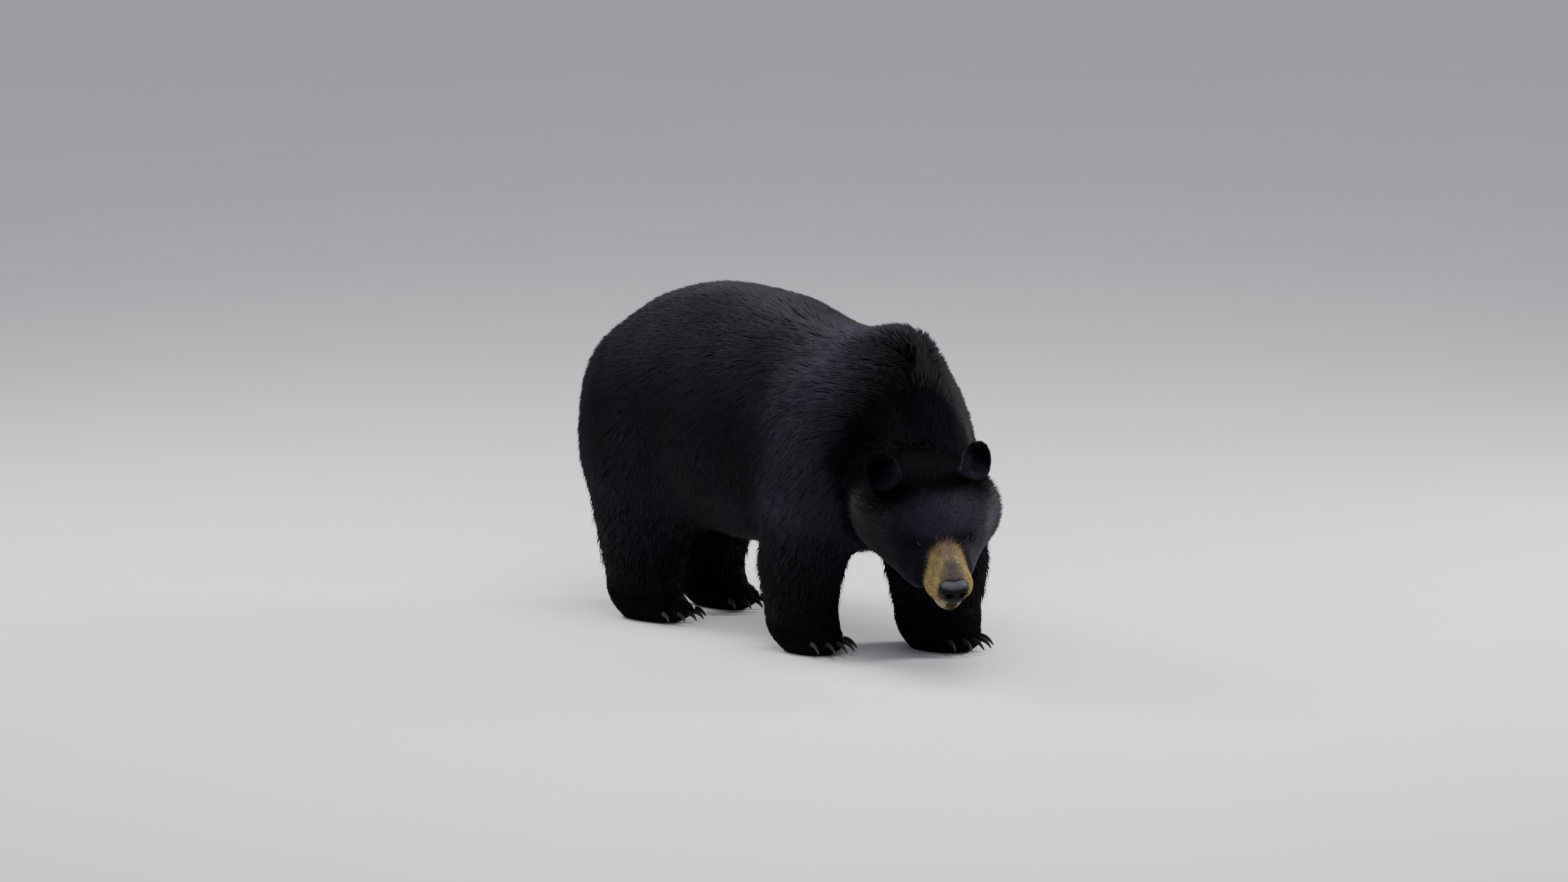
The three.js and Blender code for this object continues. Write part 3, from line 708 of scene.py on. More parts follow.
class BEAR_OT_skin(bpy.types.Operator):
    """Make the skin: one closed surface, inside the solids by the coat's depth, with the face worked in"""

    bl_idname = "bear.skin"
    bl_label = "Skin"

    def execute(self, context):
        settings = context.scene.bear_skin
        mesh = remeshed(joined_flesh(), settings.cell)
        refined(mesh, lambda middles: near_face(middles) | near_ears(middles) | near_toes(middles))
        refined(mesh, near_features)
        surface = Surface(mesh)
        if len(surface.points) < 20000:
            raise RuntimeError("the solids didn't close into one skin")
        shares = region_shares(surface)
        fine = of("head", "muzzle", "ear", "paw", "tail")(shares)
        surface.relaxed(4, np.ones(len(fine)))
        surface.relaxed(14, 1 - fine)
        sculpt_ears(surface)
        fields = coat_fields(surface, shares)
        outer = (surface.points.copy(), surface.normals())
        surface.points = surface.points - outer[1] * fields["depth"][:, None]
        surface.relaxed(2, 1 - fine)
        sculpt_toes(surface)
        sculpt_face(surface)
        mesh.vertices.foreach_set("co", surface.points.astype(np.float32).ravel())
        mesh.polygons.foreach_set("use_smooth", np.ones(len(mesh.polygons), dtype=bool))
        mesh.name = "skin"
        made = bpy.data.objects.new("skin", mesh)
        context.collection.objects.link(made)
        unwrap(made)
        store(mesh, "marking", markings(surface.points))
        store(mesh, "bare", bare_skin(surface.points))
        made.data.materials.clear()
        made.data.materials.append(skin_material(settings))
        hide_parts(*FLESH)
        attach(made, "root")
        skin.update(surface=surface, shares=shares, fields=fields, outer=outer, mesh=mesh)
        return {"FINISHED"}


def bare_skin(points):
    """1 where the skin has no hair: the lips' edges and the soles."""
    _x, y, z = in_head(points).T
    lips = bell(z - lip_height(y), 2.2) * smooth(-y, 16, 32)
    return np.maximum(lips, 1 - smooth(points[:, 2], 0.003, 0.008))


def unwrap(made):
    """The coat's colour map is laid out on an unwrap of the skin's own shape."""
    made.data.uv_layers.new(name="OFBake")
    bpy.ops.object.select_all(action="DESELECT")
    made.select_set(True)
    bpy.context.view_layer.objects.active = made
    bpy.ops.object.mode_set(mode="EDIT")
    bpy.ops.mesh.select_all(action="SELECT")
    bpy.ops.uv.smart_project(angle_limit=math.radians(72), island_margin=0.002)
    bpy.ops.object.mode_set(mode="OBJECT")


# ---------------------------------------------------------------- coat


def lie_of_coat(points, normals, shares):
    """The way the hair runs at each point: back from the nose, back and down the body, down the legs."""
    share = {region: shares[:, n][:, None] for n, region in enumerate(REGIONS)}
    x, y, z = points.T
    steep = np.abs(normals[:, 0])
    fall = 0.10 + steep * (0.30 + 2.6 * smooth(-z, -0.84, -0.50) * smooth(y, -0.30, -0.05))
    fall += steep * 0.6 * smooth(-z, -0.8, -0.5)
    trunk = unit(np.stack([np.zeros_like(x), np.ones_like(x), -fall], axis=1))
    neck_run = unit(box_centre("trunk") + (0, -0.25, 0.1) - HEAD_ORIGIN)
    neck = unit(neck_run + np.stack([x * 0, x * 0, -0.25 - 0.5 * steep], axis=1))
    down = unit(np.stack([np.sign(x) * 0.05, 0.32 + 0.2 * wander(points, 0.2, 11), -np.ones_like(x)], axis=1))
    foot = unit(np.stack([x * 0, -0.9 + x * 0, -0.5 + x * 0], axis=1))
    face = face_lie(points)
    ears = np.zeros_like(points)
    for node in ("ear_left", "ear_right"):
        near = smooth(-np.linalg.norm(points - box_centre(node), axis=1), -0.12, -0.09)[:, None]
        ears += near * unit(box_centre(node) - from_head((0, 110, 20)))
    lie = (
        share["trunk"] * trunk
        + share["neck"] * neck
        + share["upper"] * unit(trunk * 0.55 + down * 0.75)
        + share["lower"] * down
        + share["tail"] * down
        + share["paw"] * foot
        + (share["head"] + share["muzzle"]) * face
        + share["ear"] * ears
    )
    return unit(lie)


def face_lie(points):
    """On the head the hair runs away from the nose, and a little downwards on the cheeks."""
    where = in_head(points)
    away = unit(where - (NOSE_IN_HEAD + (0, -12, 10)))
    cheek = smooth(np.abs(where[:, 0]), 60, 130) * smooth(-where[:, 2], -40, 60)
    away[:, 2] -= cheek * 0.55
    away[:, 0] += np.tanh(where[:, 0] / 35) * smooth(where[:, 1], -10, 60) * 0.25
    for centre, look, _across, _up in eye_frames().values():
        off = where - centre
        off -= np.outer(off @ look, look)
        away += unit(off) * bell(np.linalg.norm(where - centre, axis=1), 12)[:, None] * 0.8
    return unit(away) @ HEAD_AXES


def standing(points, normals, shares):
    """How much more than usual the hair stands out: on the hump's crest, under the belly, behind the legs."""
    lower = shares[:, REGIONS.index("lower")] + shares[:, REGIONS.index("upper")] * 0.4
    hump = np.array((0.0, -0.35, 0.89))
    crest = bell(np.linalg.norm((points - hump) * (1.4, 1, 1), axis=1), 0.11)
    belly = smooth(-normals[:, 2], 0.2, 0.9) * shares[:, REGIONS.index("trunk")]
    behind = smooth(normals[:, 1], 0.1, 0.8) * lower
    return crest * 1.3 + belly * 0.5 + behind * 0.8


class Roots:
    """Where tufts grow: points spread evenly over triangles of the skin, with all that is known there."""

    def __init__(self, weights, rng):
        surface, fields = skin["surface"], skin["fields"]
        total = weights.sum()
        count = int(total)
        picks = np.searchsorted(np.cumsum(weights), (np.arange(count) + rng.random(count)) / count * total)
        picks = np.minimum(picks, len(weights) - 1)
        first, second = rng.random(count), rng.random(count)
        flip = first + second > 1
        first[flip], second[flip] = 1 - first[flip], 1 - second[flip]
        blend = np.stack([1 - first - second, first, second], axis=1)
        corners = surface.triangles[picks]

        def between(values):
            flat = values.reshape(len(values), -1)
            mixed = (flat[corners] * blend[:, :, None]).sum(axis=1)
            return mixed[:, 0] if values.ndim == 1 else mixed

        self.count = count
        self.points = between(surface.points)
        self.normals = unit(between(skin["normals"]))
        self.shares = between(skin["shares"])
        self.fields = {name: between(values) for name, values in fields.items()}
        self.places = (skin["places"][surface.corners[picks]] * blend[:, :, None]).sum(axis=1)

    def keep(self, chosen):
        for name in ("points", "normals", "shares", "places"):
            setattr(self, name, getattr(self, name)[chosen])
        self.fields = {name: values[chosen] for name, values in self.fields.items()}
        self.count = int(chosen.sum())


def clumped(roots, tips, rng, every, pull):
    """Draws the tips of neighbouring tufts together into locks. Gives the tips and each tuft's leader."""
    leaders = rng.permutation(roots.count)[: max(roots.count // every, 1)]
    tree = KDTree(len(leaders))
    for n, leader in enumerate(leaders):
        tree.insert(roots.points[leader], n)
    tree.balance()
    nearest = np.array([tree.find(point)[1] for point in roots.points.tolist()])
    leader = leaders[nearest]
    return tips + (tips[leader] - tips) * (pull * rng.uniform(0.4, 1.0, roots.count))[:, None], leader


# A spindle has one root, three points round its widest place and one tip; a spike has three at its root.
SPINDLE = dict(
    faces=[(2, 1, 0), (3, 2, 0), (1, 3, 0), (1, 2, 4), (2, 3, 4), (3, 1, 4)],
    along=(0.0, 0.4, 0.4, 0.4, 1.0),
    patch=[(0, -1), (-0.9, 0), (0.9, 0), (0, 0.2), (0, 1)],
)
SPIKE = dict(
    faces=[(0, 2, 1), (0, 1, 3), (1, 2, 3), (2, 0, 3)],
    along=(0.1, 0.1, 0.1, 1.0),
    patch=[(-1, -1), (1, -1), (0, -0.5), (0, 1)],
)
PATCH = 0.0015  # half the side of a tuft's patch on the colour map
WILD = 0.03  # share of the tufts that stand out beyond their neighbours
DARK_HAIRS = 0.18  # share of the muzzle's tufts that are dark


def tips_on_coat(roots, tips, height):
    """Moves the tips to a share of the coat's depth: 0 is at the skin, and 1 at the tips of the coat."""
    nearest = np.array([skin["tree"].find(tip)[1] for tip in tips.tolist()])
    points, normals = skin["outer"]
    beyond = ((tips - points[nearest]) * normals[nearest]).sum(axis=1)
    depth = np.minimum(skin["fields"]["depth"][nearest], roots.fields["depth"] * 1.3 + 0.002)
    return tips + normals[nearest] * (-depth * (1 - height) - beyond)[:, None]


def tufts(name, roots, rng, shape, glossy):
    """One mesh of closed tufts. A tuft rises from the skin and curves over to lie along the coat."""
    lie = lie_of_coat(roots.points, roots.normals, roots.shares)
    turn = np.radians(roots.fields["fray"])
    turn *= wander(roots.points, 0.09, 21) * 1.1 + wander(roots.points, 0.03, 22) * 0.6
    turn += np.radians(roots.fields["fray"]) * rng.normal(size=roots.count) * 0.5
    turn += shoulder_share(roots.points) * wander(roots.points, 0.035, 23) * 0.45
    along = unit(lie - roots.normals * (lie * roots.normals).sum(axis=1)[:, None])
    across = np.cross(roots.normals, along)
    along = along * np.cos(turn)[:, None] + across * np.sin(turn)[:, None]
    across = np.cross(roots.normals, along)
    stand = standing(roots.points, roots.normals, roots.shares)
    length = roots.fields["length"] * rng.uniform(0.72, 1.15, roots.count)
    depth = roots.fields["depth"]
    reach = np.sqrt(np.maximum(length**2 - depth**2, (0.4 * length) ** 2)) * (1 - 0.45 * np.clip(stand, 0, 1))
    start = roots.points - roots.normals * 0.0008
    width = roots.fields["width"] * rng.uniform(0.7, 1.25, roots.count)
    height = rng.uniform(0.78, 1.0, roots.count)
    legs = roots.shares[:, REGIONS.index("lower")] + 0.4 * roots.shares[:, REGIONS.index("upper")]
    wild = rng.random(roots.count) < WILD * (1 + 2 * legs)
    height = np.where(wild, height + 0.12 + 0.4 * legs, height) + 0.08 * stand
    aimed = roots.points + along * reach[:, None] + roots.normals * (depth * 0.8)[:, None]
    tip = tips_on_coat(roots, aimed, height)
    chance = rng.random(roots.count)
    tip, leader = clumped(roots, tip, rng, 12, 0.38 if shape is SPINDLE else 0.2)
    chance = chance * 0.5 + chance[leader] * 0.5
    if shape is SPINDLE:
        rise = ((tip - roots.points) * roots.normals).sum(axis=1)
        middle = start + (tip - start) * 0.4 + roots.normals * (rise * 0.28)[:, None]
    else:
        middle = start
    ring = []
    for side, lift in ((-0.5, 0.0), (0.5, 0.0), (0.0, 0.45)):
        ring.append(middle + across * (side * width)[:, None] + roots.normals * (lift * width)[:, None])
    layers = [start, *ring, tip] if shape is SPINDLE else [*ring, tip]
    points = np.stack(layers, axis=1)
    points[:, :, 2] = np.maximum(points[:, :, 2], 0.0015)
    size = points.shape[1]
    faces = (np.array(shape["faces"])[None] + (np.arange(roots.count) * size)[:, None, None]).reshape(-1, 3)
    made = mesh_object(name, points.reshape(-1, 3), faces)
    colour = markings(roots.points, rng.normal(size=roots.count) * 5.0)
    # Dark hairs are mixed into the pale fur of the muzzle.
    dark = rng.random(roots.count) < DARK_HAIRS * roots.shares[:, REGIONS.index("muzzle")]
    colour[dark] *= 0.35
    store(made.data, "marking", np.repeat(colour, size, axis=0))
    store(made.data, "along", np.tile(shape["along"], roots.count))
    store(made.data, "chance", np.repeat(chance, size))
    places = (roots.places[:, None] + np.array(shape["patch"])[None] * PATCH).reshape(-1, 2)
    layer = made.data.uv_layers.new(name="OFBake")
    layer.data.foreach_set("uv", np.clip(places, PATCH, 1 - PATCH)[faces.ravel()].astype(np.float32).ravel())
    made.data.materials.append(fur_material(*(GLOSSY_FUR if glossy else DULL_FUR)))
    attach(made, "root")
    return made


MOST_TRIANGLES = 190000
GLOSSY_FUR = ("Fur", 0.12)  # a fur material's name and shine
DULL_FUR = ("Dull fur", 0.02)


def grow(name, chosen, shape, glossy=False):
    """Grows the coat on the regions chosen, in as many pieces as its triangles need, from nose to tail."""
    coat = bpy.context.scene.bear_coat
    rng = np.random.default_rng(coat.seed + sum(map(ord, name)))
    surface, fields = skin["surface"], skin["fields"]
    fullness = coat.fullness * 1.0
    share = chosen(skin["shares"])
    density = (fields["density"] * share * skin["hairy"])[surface.triangles].mean(axis=1)
    roots = Roots(density * surface.areas() * fullness, rng)
    parts = math.ceil(roots.count * len(shape["faces"]) / MOST_TRIANGLES)
    edges = np.quantile(roots.points[:, 1], np.linspace(0, 1, parts + 1))
    edges[-1] += 1
    for part in range(parts):
        here = copy.copy(roots)
        here.keep((roots.points[:, 1] >= edges[part]) & (roots.points[:, 1] < edges[part + 1]))
        tufts(name if parts == 1 else f"{name}_{part + 1}", here, rng, shape, glossy)


def of(*names):
    """How much of each vertex belongs to the regions named."""
    return lambda shares: shares[:, [REGIONS.index(name) for name in names]].sum(axis=1)


def prepare_roots():
    """What the tufts need to know of the skin, worked out once."""
    if "mesh" not in skin:
        raise RuntimeError("make the skin first")
    if "places" in skin:
        return
    surface = skin["surface"]
    skin["normals"] = surface.spread(surface.normals(), 1)
    loops = np.empty(len(skin["mesh"].loops) * 2, dtype=np.float32)
    skin["mesh"].uv_layers["OFBake"].data.foreach_get("uv", loops)
    skin["places"] = loops.reshape(-1, 2).astype(np.float64)
    where = in_head(surface.points)
    hairy = smooth(nose_distance(where), 0.93, 1.0) * (1 - bare_skin(surface.points))
    for centre, look, across, up in eye_frames().values():
        away = where - centre
        flat = np.hypot((away @ across) / (LID_WIDTH + 2.0), (away @ up + 0.5) / (LOWER_LID + 1.6))
        hairy *= np.where((away @ look > 0) & (np.linalg.norm(away, axis=1) < 26), smooth(flat, 0.95, 1.1), 1)
    skin["hairy"] = hairy
    skin["tree"] = KDTree(len(surface.points))
    for n, point in enumerate(skin["outer"][0].tolist()):
        skin["tree"].insert(point, n)
    skin["tree"].balance()


class BEAR_OT_body_coat(bpy.types.Operator):
    """Grow the long coat of the trunk, neck and tail, back and down along the body"""

    bl_idname = "bear.body_coat"
    bl_label = "Body coat"

    def execute(self, context):
        prepare_roots()
        grow("coat_trunk", of("trunk"), SPINDLE, glossy=True)
        grow("coat_neck", of("neck"), SPINDLE)
        grow("coat_tail", of("tail"), SPINDLE, glossy=True)
        return {"FINISHED"}


class BEAR_OT_leg_coat(bpy.types.Operator):
    """Grow the coat of the legs, down to the short fur of the paws"""

    bl_idname = "bear.leg_coat"
    bl_label = "Leg coat"

    def execute(self, context):
        prepare_roots()
        grow("coat_upper_legs", of("upper"), SPINDLE, glossy=True)
        grow("coat_lower_legs", of("lower"), SPINDLE, glossy=True)
        grow("coat_paws", of("paw"), SPIKE, glossy=True)
        return {"FINISHED"}


class BEAR_OT_head_coat(bpy.types.Operator):
    """Grow the short fur of the head, muzzle and ears"""

    bl_idname = "bear.head_coat"
    bl_label = "Head coat"

    def execute(self, context):
        prepare_roots()
        crown = crown_share(skin["surface"].points)
        grow("coat_face", lambda shares: of("head")(shares) * (1 - crown), SPIKE, glossy=True)
        grow("coat_crown", lambda shares: of("head")(shares) * crown, SPIKE)
        grow("coat_muzzle", of("muzzle"), SPIKE)
        grow("coat_ears", of("ear"), SPIKE)
        return {"FINISHED"}


# ---------------------------------------------------------------- materials


def node_tree(material):
    material.use_nodes = True
    tree = material.node_tree
    tree.nodes.clear()
    output = tree.nodes.new("ShaderNodeOutputMaterial")
    shader = tree.nodes.new("ShaderNodeBsdfPrincipled")
    tree.links.new(shader.outputs["BSDF"], output.inputs["Surface"])
    return tree, shader


def attribute(tree, name, output="Fac"):
    node = tree.nodes.new("ShaderNodeAttribute")
    node.attribute_name = name
    return node.outputs[output]


def mixed(tree, factor, a, b, blend="MIX"):
    """A colour mix. Each of factor, a and b is a socket or a plain value."""
    node = tree.nodes.new("ShaderNodeMix")
    node.data_type = "RGBA"
    node.blend_type = blend
    node.clamp_result = False
    for socket, value in ((node.inputs[0], factor), (node.inputs[6], a), (node.inputs[7], b)):
        if isinstance(value, bpy.types.NodeSocket):
            tree.links.new(value, socket)
        else:
            socket.default_value = value
    return node.outputs[2]


def ranged(tree, value, low, high, to_low, to_high):
    node = tree.nodes.new("ShaderNodeMapRange")
    node.inputs["From Min"].default_value = low
    node.inputs["From Max"].default_value = high
    node.inputs["To Min"].default_value = to_low
    node.inputs["To Max"].default_value = to_high
    tree.links.new(value, node.inputs["Value"])
    return node.outputs["Result"]


def grey(tree, value):
    """The number as a grey colour."""
    node = tree.nodes.new("ShaderNodeCombineColor")
    for n in range(3):
        tree.links.new(value, node.inputs[n])
    return node.outputs["Color"]


def noise_at(tree, scale, kind="ShaderNodeTexNoise"):
    """A noise or cell pattern on the object's own coordinates."""
    where = tree.nodes.new("ShaderNodeTexCoord")
    node = tree.nodes.new(kind)
    node.inputs["Scale"].default_value = scale
    tree.links.new(where.outputs["Object"], node.inputs["Vector"])
    return node


def bumped(tree, shader, height, distance, strength=1.0):
    """Roughens the shading by a height in metres."""
    bump = tree.nodes.new("ShaderNodeBump")
    bump.inputs["Strength"].default_value = strength
    bump.inputs["Distance"].default_value = distance
    tree.links.new(height, bump.inputs["Height"])
    tree.links.new(bump.outputs["Normal"], shader.inputs["Normal"])


def hair_tone_group():
    """The tone of hair: darker at the root, lighter and browner at the tip, and different tuft by tuft."""
    if "Hair tone" in bpy.data.node_groups:
        return bpy.data.node_groups["Hair tone"]
    group = bpy.data.node_groups.new("Hair tone", "ShaderNodeTree")
    face = group.interface
    face.new_socket("Colour", in_out="INPUT", socket_type="NodeSocketColor")
    face.new_socket("Along", in_out="INPUT", socket_type="NodeSocketFloat")
    face.new_socket("Chance", in_out="INPUT", socket_type="NodeSocketFloat")
    face.new_socket("Patch size", in_out="INPUT", socket_type="NodeSocketFloat")
    face.new_socket("Colour", in_out="OUTPUT", socket_type="NodeSocketColor")
    face.new_socket("Patches", in_out="OUTPUT", socket_type="NodeSocketFloat")
    start = group.nodes.new("NodeGroupInput")
    end = group.nodes.new("NodeGroupOutput")
    noise = noise_at(group, 4)
    noise.inputs["Detail"].default_value = 3
    group.links.new(start.outputs["Patch size"], noise.inputs["Scale"])
    root = grey(group, ranged(group, start.outputs["Along"], 0.0, 0.7, 0.78, 1.0))
    shaded = mixed(group, 1.0, start.outputs["Colour"], root, "MULTIPLY")
    lot = grey(group, ranged(group, start.outputs["Chance"], 0.0, 1.0, 0.6, 1.45))
    varied = mixed(group, 1.0, shaded, lot, "MULTIPLY")
    dimmed = ranged(group, noise.outputs["Fac"], 0.4, 0.75, 0.0, 0.5)
    patch_dim_and_painted_light = mixed(group, dimmed, varied, (0.0, 0.0, 0.0, 1.0))
    tip = ranged(group, start.outputs["Along"], 0.6, 1.0, 0.0, 1.0)
    brown = mixed(group, 1.0, patch_dim_and_painted_light, (1.55, 1.3, 1.15, 1.0), "MULTIPLY")
    group.links.new(mixed(group, tip, patch_dim_and_painted_light, brown), end.inputs["Colour"])
    group.links.new(noise.outputs["Fac"], end.inputs["Patches"])
    return group


def fur_material(name, shine):
    """Fur with the hair tones above; shine is how strongly it mirrors the lights."""
    if name in bpy.data.materials:
        return bpy.data.materials[name]
    material = bpy.data.materials.new(name)
    tree, shader = node_tree(material)
    tone = tree.nodes.new("ShaderNodeGroup")
    tone.node_tree = hair_tone_group()
    tree.links.new(attribute(tree, "marking", "Color"), tone.inputs["Colour"])
    tree.links.new(attribute(tree, "along"), tone.inputs["Along"])
    tree.links.new(attribute(tree, "chance"), tone.inputs["Chance"])
    tone.inputs["Patch size"].default_value = 4.0
    tree.links.new(tone.outputs["Colour"], shader.inputs["Base Color"])
    tree.links.new(ranged(tree, tone.outputs["Patches"], 0.3, 0.7, 0.48, 0.62), shader.inputs["Roughness"])
    shader.inputs["Specular IOR Level"].default_value = shine
    return material


def skin_material(settings):
    material = bpy.data.materials.new("Skin")
    tree, shader = node_tree(material)
    tone = tree.nodes.new("ShaderNodeGroup")
    tone.node_tree = hair_tone_group()
    tree.links.new(attribute(tree, "marking", "Color"), tone.inputs["Colour"])
    tone.inputs["Along"].default_value = 0.6
    tone.inputs["Chance"].default_value = 0.5
    tone.inputs["Patch size"].default_value = 4.0
    bare = attribute(tree, "bare")
    colour = mixed(tree, bare, tone.outputs["Colour"], (*settings.colour, 1.0))
    tree.links.new(colour, shader.inputs["Base Color"])
    tree.links.new(ranged(tree, bare, 0.0, 1.0, 0.8, 0.45), shader.inputs["Roughness"])
    shader.inputs["Specular IOR Level"].default_value = 0.03
    pores = noise_at(tree, 700)
    pores.inputs["Detail"].default_value = 4
    bumped(tree, shader, pores.outputs["Fac"], 0.0006, 0.5)
    return material


def nose_material():
    material = bpy.data.materials.new("Nose leather")
    tree, shader = node_tree(material)
    cells = noise_at(tree, 620, "ShaderNodeTexVoronoi")
    noise = noise_at(tree, 90)
    # The top of the pad is painted paler and bluer: a painted reflection of the sky.
    pale = mixed(tree, noise.outputs["Fac"], (0.034, 0.032, 0.040, 1), (0.070, 0.066, 0.078, 1))
    leather = mixed(tree, attribute(tree, "patch_dim_and_painted_light"), (0.0024, 0.0021, 0.0023, 1), pale)
    # Inside the nostrils the leather is painted darker: painted shade.
    dark = mixed(tree, attribute(tree, "inside"), leather, (0.002, 0.0015, 0.0015, 1))
    tree.links.new(dark, shader.inputs["Base Color"])
    tree.links.new(ranged(tree, noise.outputs["Fac"], 0.3, 0.7, 0.40, 0.55), shader.inputs["Roughness"])
    shader.inputs["Specular IOR Level"].default_value = 0.07
    bumped(tree, shader, ranged(tree, cells.outputs["Distance"], 0.0, 0.8, 1.0, 0.0), 0.0006, 0.55)
    return material


def eye_material():
    material = bpy.data.materials.new("Eye")
    tree, shader = node_tree(material)
    ring = attribute(tree, "ring")
    noise = noise_at(tree, 900)
    iris = mixed(tree, noise.outputs["Fac"], (0.006, 0.0032, 0.002, 1), (0.014, 0.0075, 0.004, 1))
    pupil = mixed(tree, ranged(tree, ring, 0.36, 0.44, 0.0, 1.0), (0.001, 0.001, 0.001, 1), iris)
    white = mixed(tree, ranged(tree, ring, 0.82, 0.95, 0.0, 1.0), pupil, (0.006, 0.004, 0.003, 1))
    tree.links.new(white, shader.inputs["Base Color"])
    shader.inputs["Roughness"].default_value = 0.12
    shader.inputs["Specular IOR Level"].default_value = 0.045
    return material


def lid_material():
    material = bpy.data.materials.new("Lid rim")
    tree, shader = node_tree(material)
    noise = noise_at(tree, 400)
    dark = mixed(tree, noise.outputs["Fac"], (0.003, 0.0027, 0.003, 1), (0.007, 0.006, 0.007, 1))
    grey = mixed(tree, noise.outputs["Fac"], (0.055, 0.051, 0.058, 1), (0.11, 0.10, 0.11, 1))
    # The upper rim is painted dark, painted shade under the brow; the lower rim is paler grey.
    tree.links.new(mixed(tree, attribute(tree, "lower"), dark, grey), shader.inputs["Base Color"])
    shader.inputs["Roughness"].default_value = 0.6
    shader.inputs["Specular IOR Level"].default_value = 0.06
    bumped(tree, shader, noise.outputs["Fac"], 0.0003)
    return material


def claw_material():
    material = bpy.data.materials.new("Claw horn")
    tree, shader = node_tree(material)
    along = attribute(tree, "along")
    grain = noise_at(tree, 260)
    horn = mixed(tree, grain.outputs["Fac"], (0.008, 0.0065, 0.0055, 1), (0.026, 0.020, 0.016, 1))
    tip = mixed(tree, ranged(tree, along, 0.6, 1.0, 0.0, 0.5), horn, (0.09, 0.072, 0.055, 1))
    tree.links.new(tip, shader.inputs["Base Color"])
    tree.links.new(ranged(tree, grain.outputs["Fac"], 0.3, 0.7, 0.42, 0.55), shader.inputs["Roughness"])
    shader.inputs["Specular IOR Level"].default_value = 0.2
    bumped(tree, shader, grain.outputs["Fac"], 0.0004, 0.3)
    return material


# ---------------------------------------------------------------- eyes, nose and claws


def ball(rings, around):
    """Points and faces of a unit ball whose pole is -Y: quads, with the poles pinched to small rings."""
    tilt = np.linspace(0.004, math.pi - 0.004, rings)
    turn = np.arange(around) / around * 2 * math.pi
    tilt, turn = np.meshgrid(tilt, turn, indexing="ij")
    points = np.stack([np.sin(tilt) * np.cos(turn), -np.cos(tilt), np.sin(tilt) * np.sin(turn)], axis=-1)
    points = np.concatenate([points.reshape(-1, 3), [(0, -1, 0), (0, 1, 0)]])
    quads = []
    for ring in range(rings - 1):
        for n in range(around):
            after = (n + 1) % around
            here, there = ring * around, (ring + 1) * around
            quads += [(here + n, here + after, there + after), (here + n, there + after, there + n)]
    front, back = rings * around, rings * around + 1
    last = (rings - 1) * around
    for n in range(around):
        after = (n + 1) % around
        quads += [(front, after, n), (back, last + n, last + after)]
    return points, np.array(quads)


def facing_out(made):
    """Turns the faces outwards, for a closed shape whose winding isn't known."""
    body = bmesh.new()
    body.from_mesh(made.data)
    bmesh.ops.recalc_face_normals(body, faces=body.faces)
    body.to_mesh(made.data)
    body.free()
    return made


class BEAR_OT_eyes(bpy.types.Operator):
    """Make each eye: a dark ball with an iris and pupil, and the bare rim of its lids"""

    bl_idname = "bear.eyes"
    bl_label = "Eyes"

    def execute(self, context):
        eye, rim = eye_material(), lid_material()
        for side, (centre, look, across, up) in eye_frames().items():
            name = "left" if side > 0 else "right"
            points, faces = ball(40, 48)
            facing = -points[:, 1]
            # The clear front of the eye stands out a little.
            bulge = 1 + 0.07 * smooth(facing, 0.55, 0.95)
            axes = np.stack([across, -look, up])
            placed = from_head(centre + points * bulge[:, None] * EYE_RADIUS @ axes)
            made = facing_out(mesh_object(f"eyeball_{name}", placed, faces))
            store(made.data, "ring", np.arccos(np.clip(facing, -1, 1)) / 0.95)
            made.data.materials.append(eye)
            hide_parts(f"eye_{name}")
            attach(made, "root")
            self.lids(name, centre, look, across, up, rim)
        return {"FINISHED"}

    def lids(self, name, centre, look, across, up, material):
        """A rounded rim along the opening, thicker above, drawn to a point at each corner."""
        turns = np.linspace(0, 2 * math.pi, 72, endpoint=False)
        a = np.cos(turns) * LID_WIDTH
        tallest = np.where(np.sin(turns) > 0, UPPER_LID, LOWER_LID) * np.sign(np.sin(turns))
        b = tallest * (1 - (a / LID_WIDTH) ** 2)
        along = np.sqrt(np.maximum((EYE_RADIUS + 0.7) ** 2 - a**2 - b**2, 4))
        path = centre + np.outer(a, across) + np.outer(b, up) + np.outer(along, look)
        run = unit(np.roll(path, -1, axis=0) - np.roll(path, 1, axis=0))
        out = unit(path - centre)
        over = np.cross(run, out)
        thick = 0.8 - 0.25 * smooth(-np.sin(turns), -0.2, 0.4)
        around = 10
        rings = []
        for n in range(around):
            angle = n / around * 2 * math.pi
            lift = out * (math.cos(angle) * thick)[:, None]
            rings.append(path + lift + over * (math.sin(angle) * thick * 1.25)[:, None])
        points = np.stack(rings, axis=1).reshape(-1, 3)
        count = len(turns)
        faces = []
        for i in range(count):
            here, there = i * around, (i + 1) % count * around
            for n in range(around):
                after = (n + 1) % around
                faces.append((here + n, here + after, there + after, there + n))
        made = facing_out(mesh_object(f"lid_rim_{name}", from_head(points), np.array(faces)))
        # The upper rim is painted dark, painted shade under the brow; the lower rim is paler grey.
        store(made.data, "lower", np.repeat(smooth(-np.sin(turns), 0.1, 0.7), around))
        made.data.materials.append(material)
        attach(made, "root")


BOXY = 2.6  # how square the nose pad is: 2 would be a plain ball


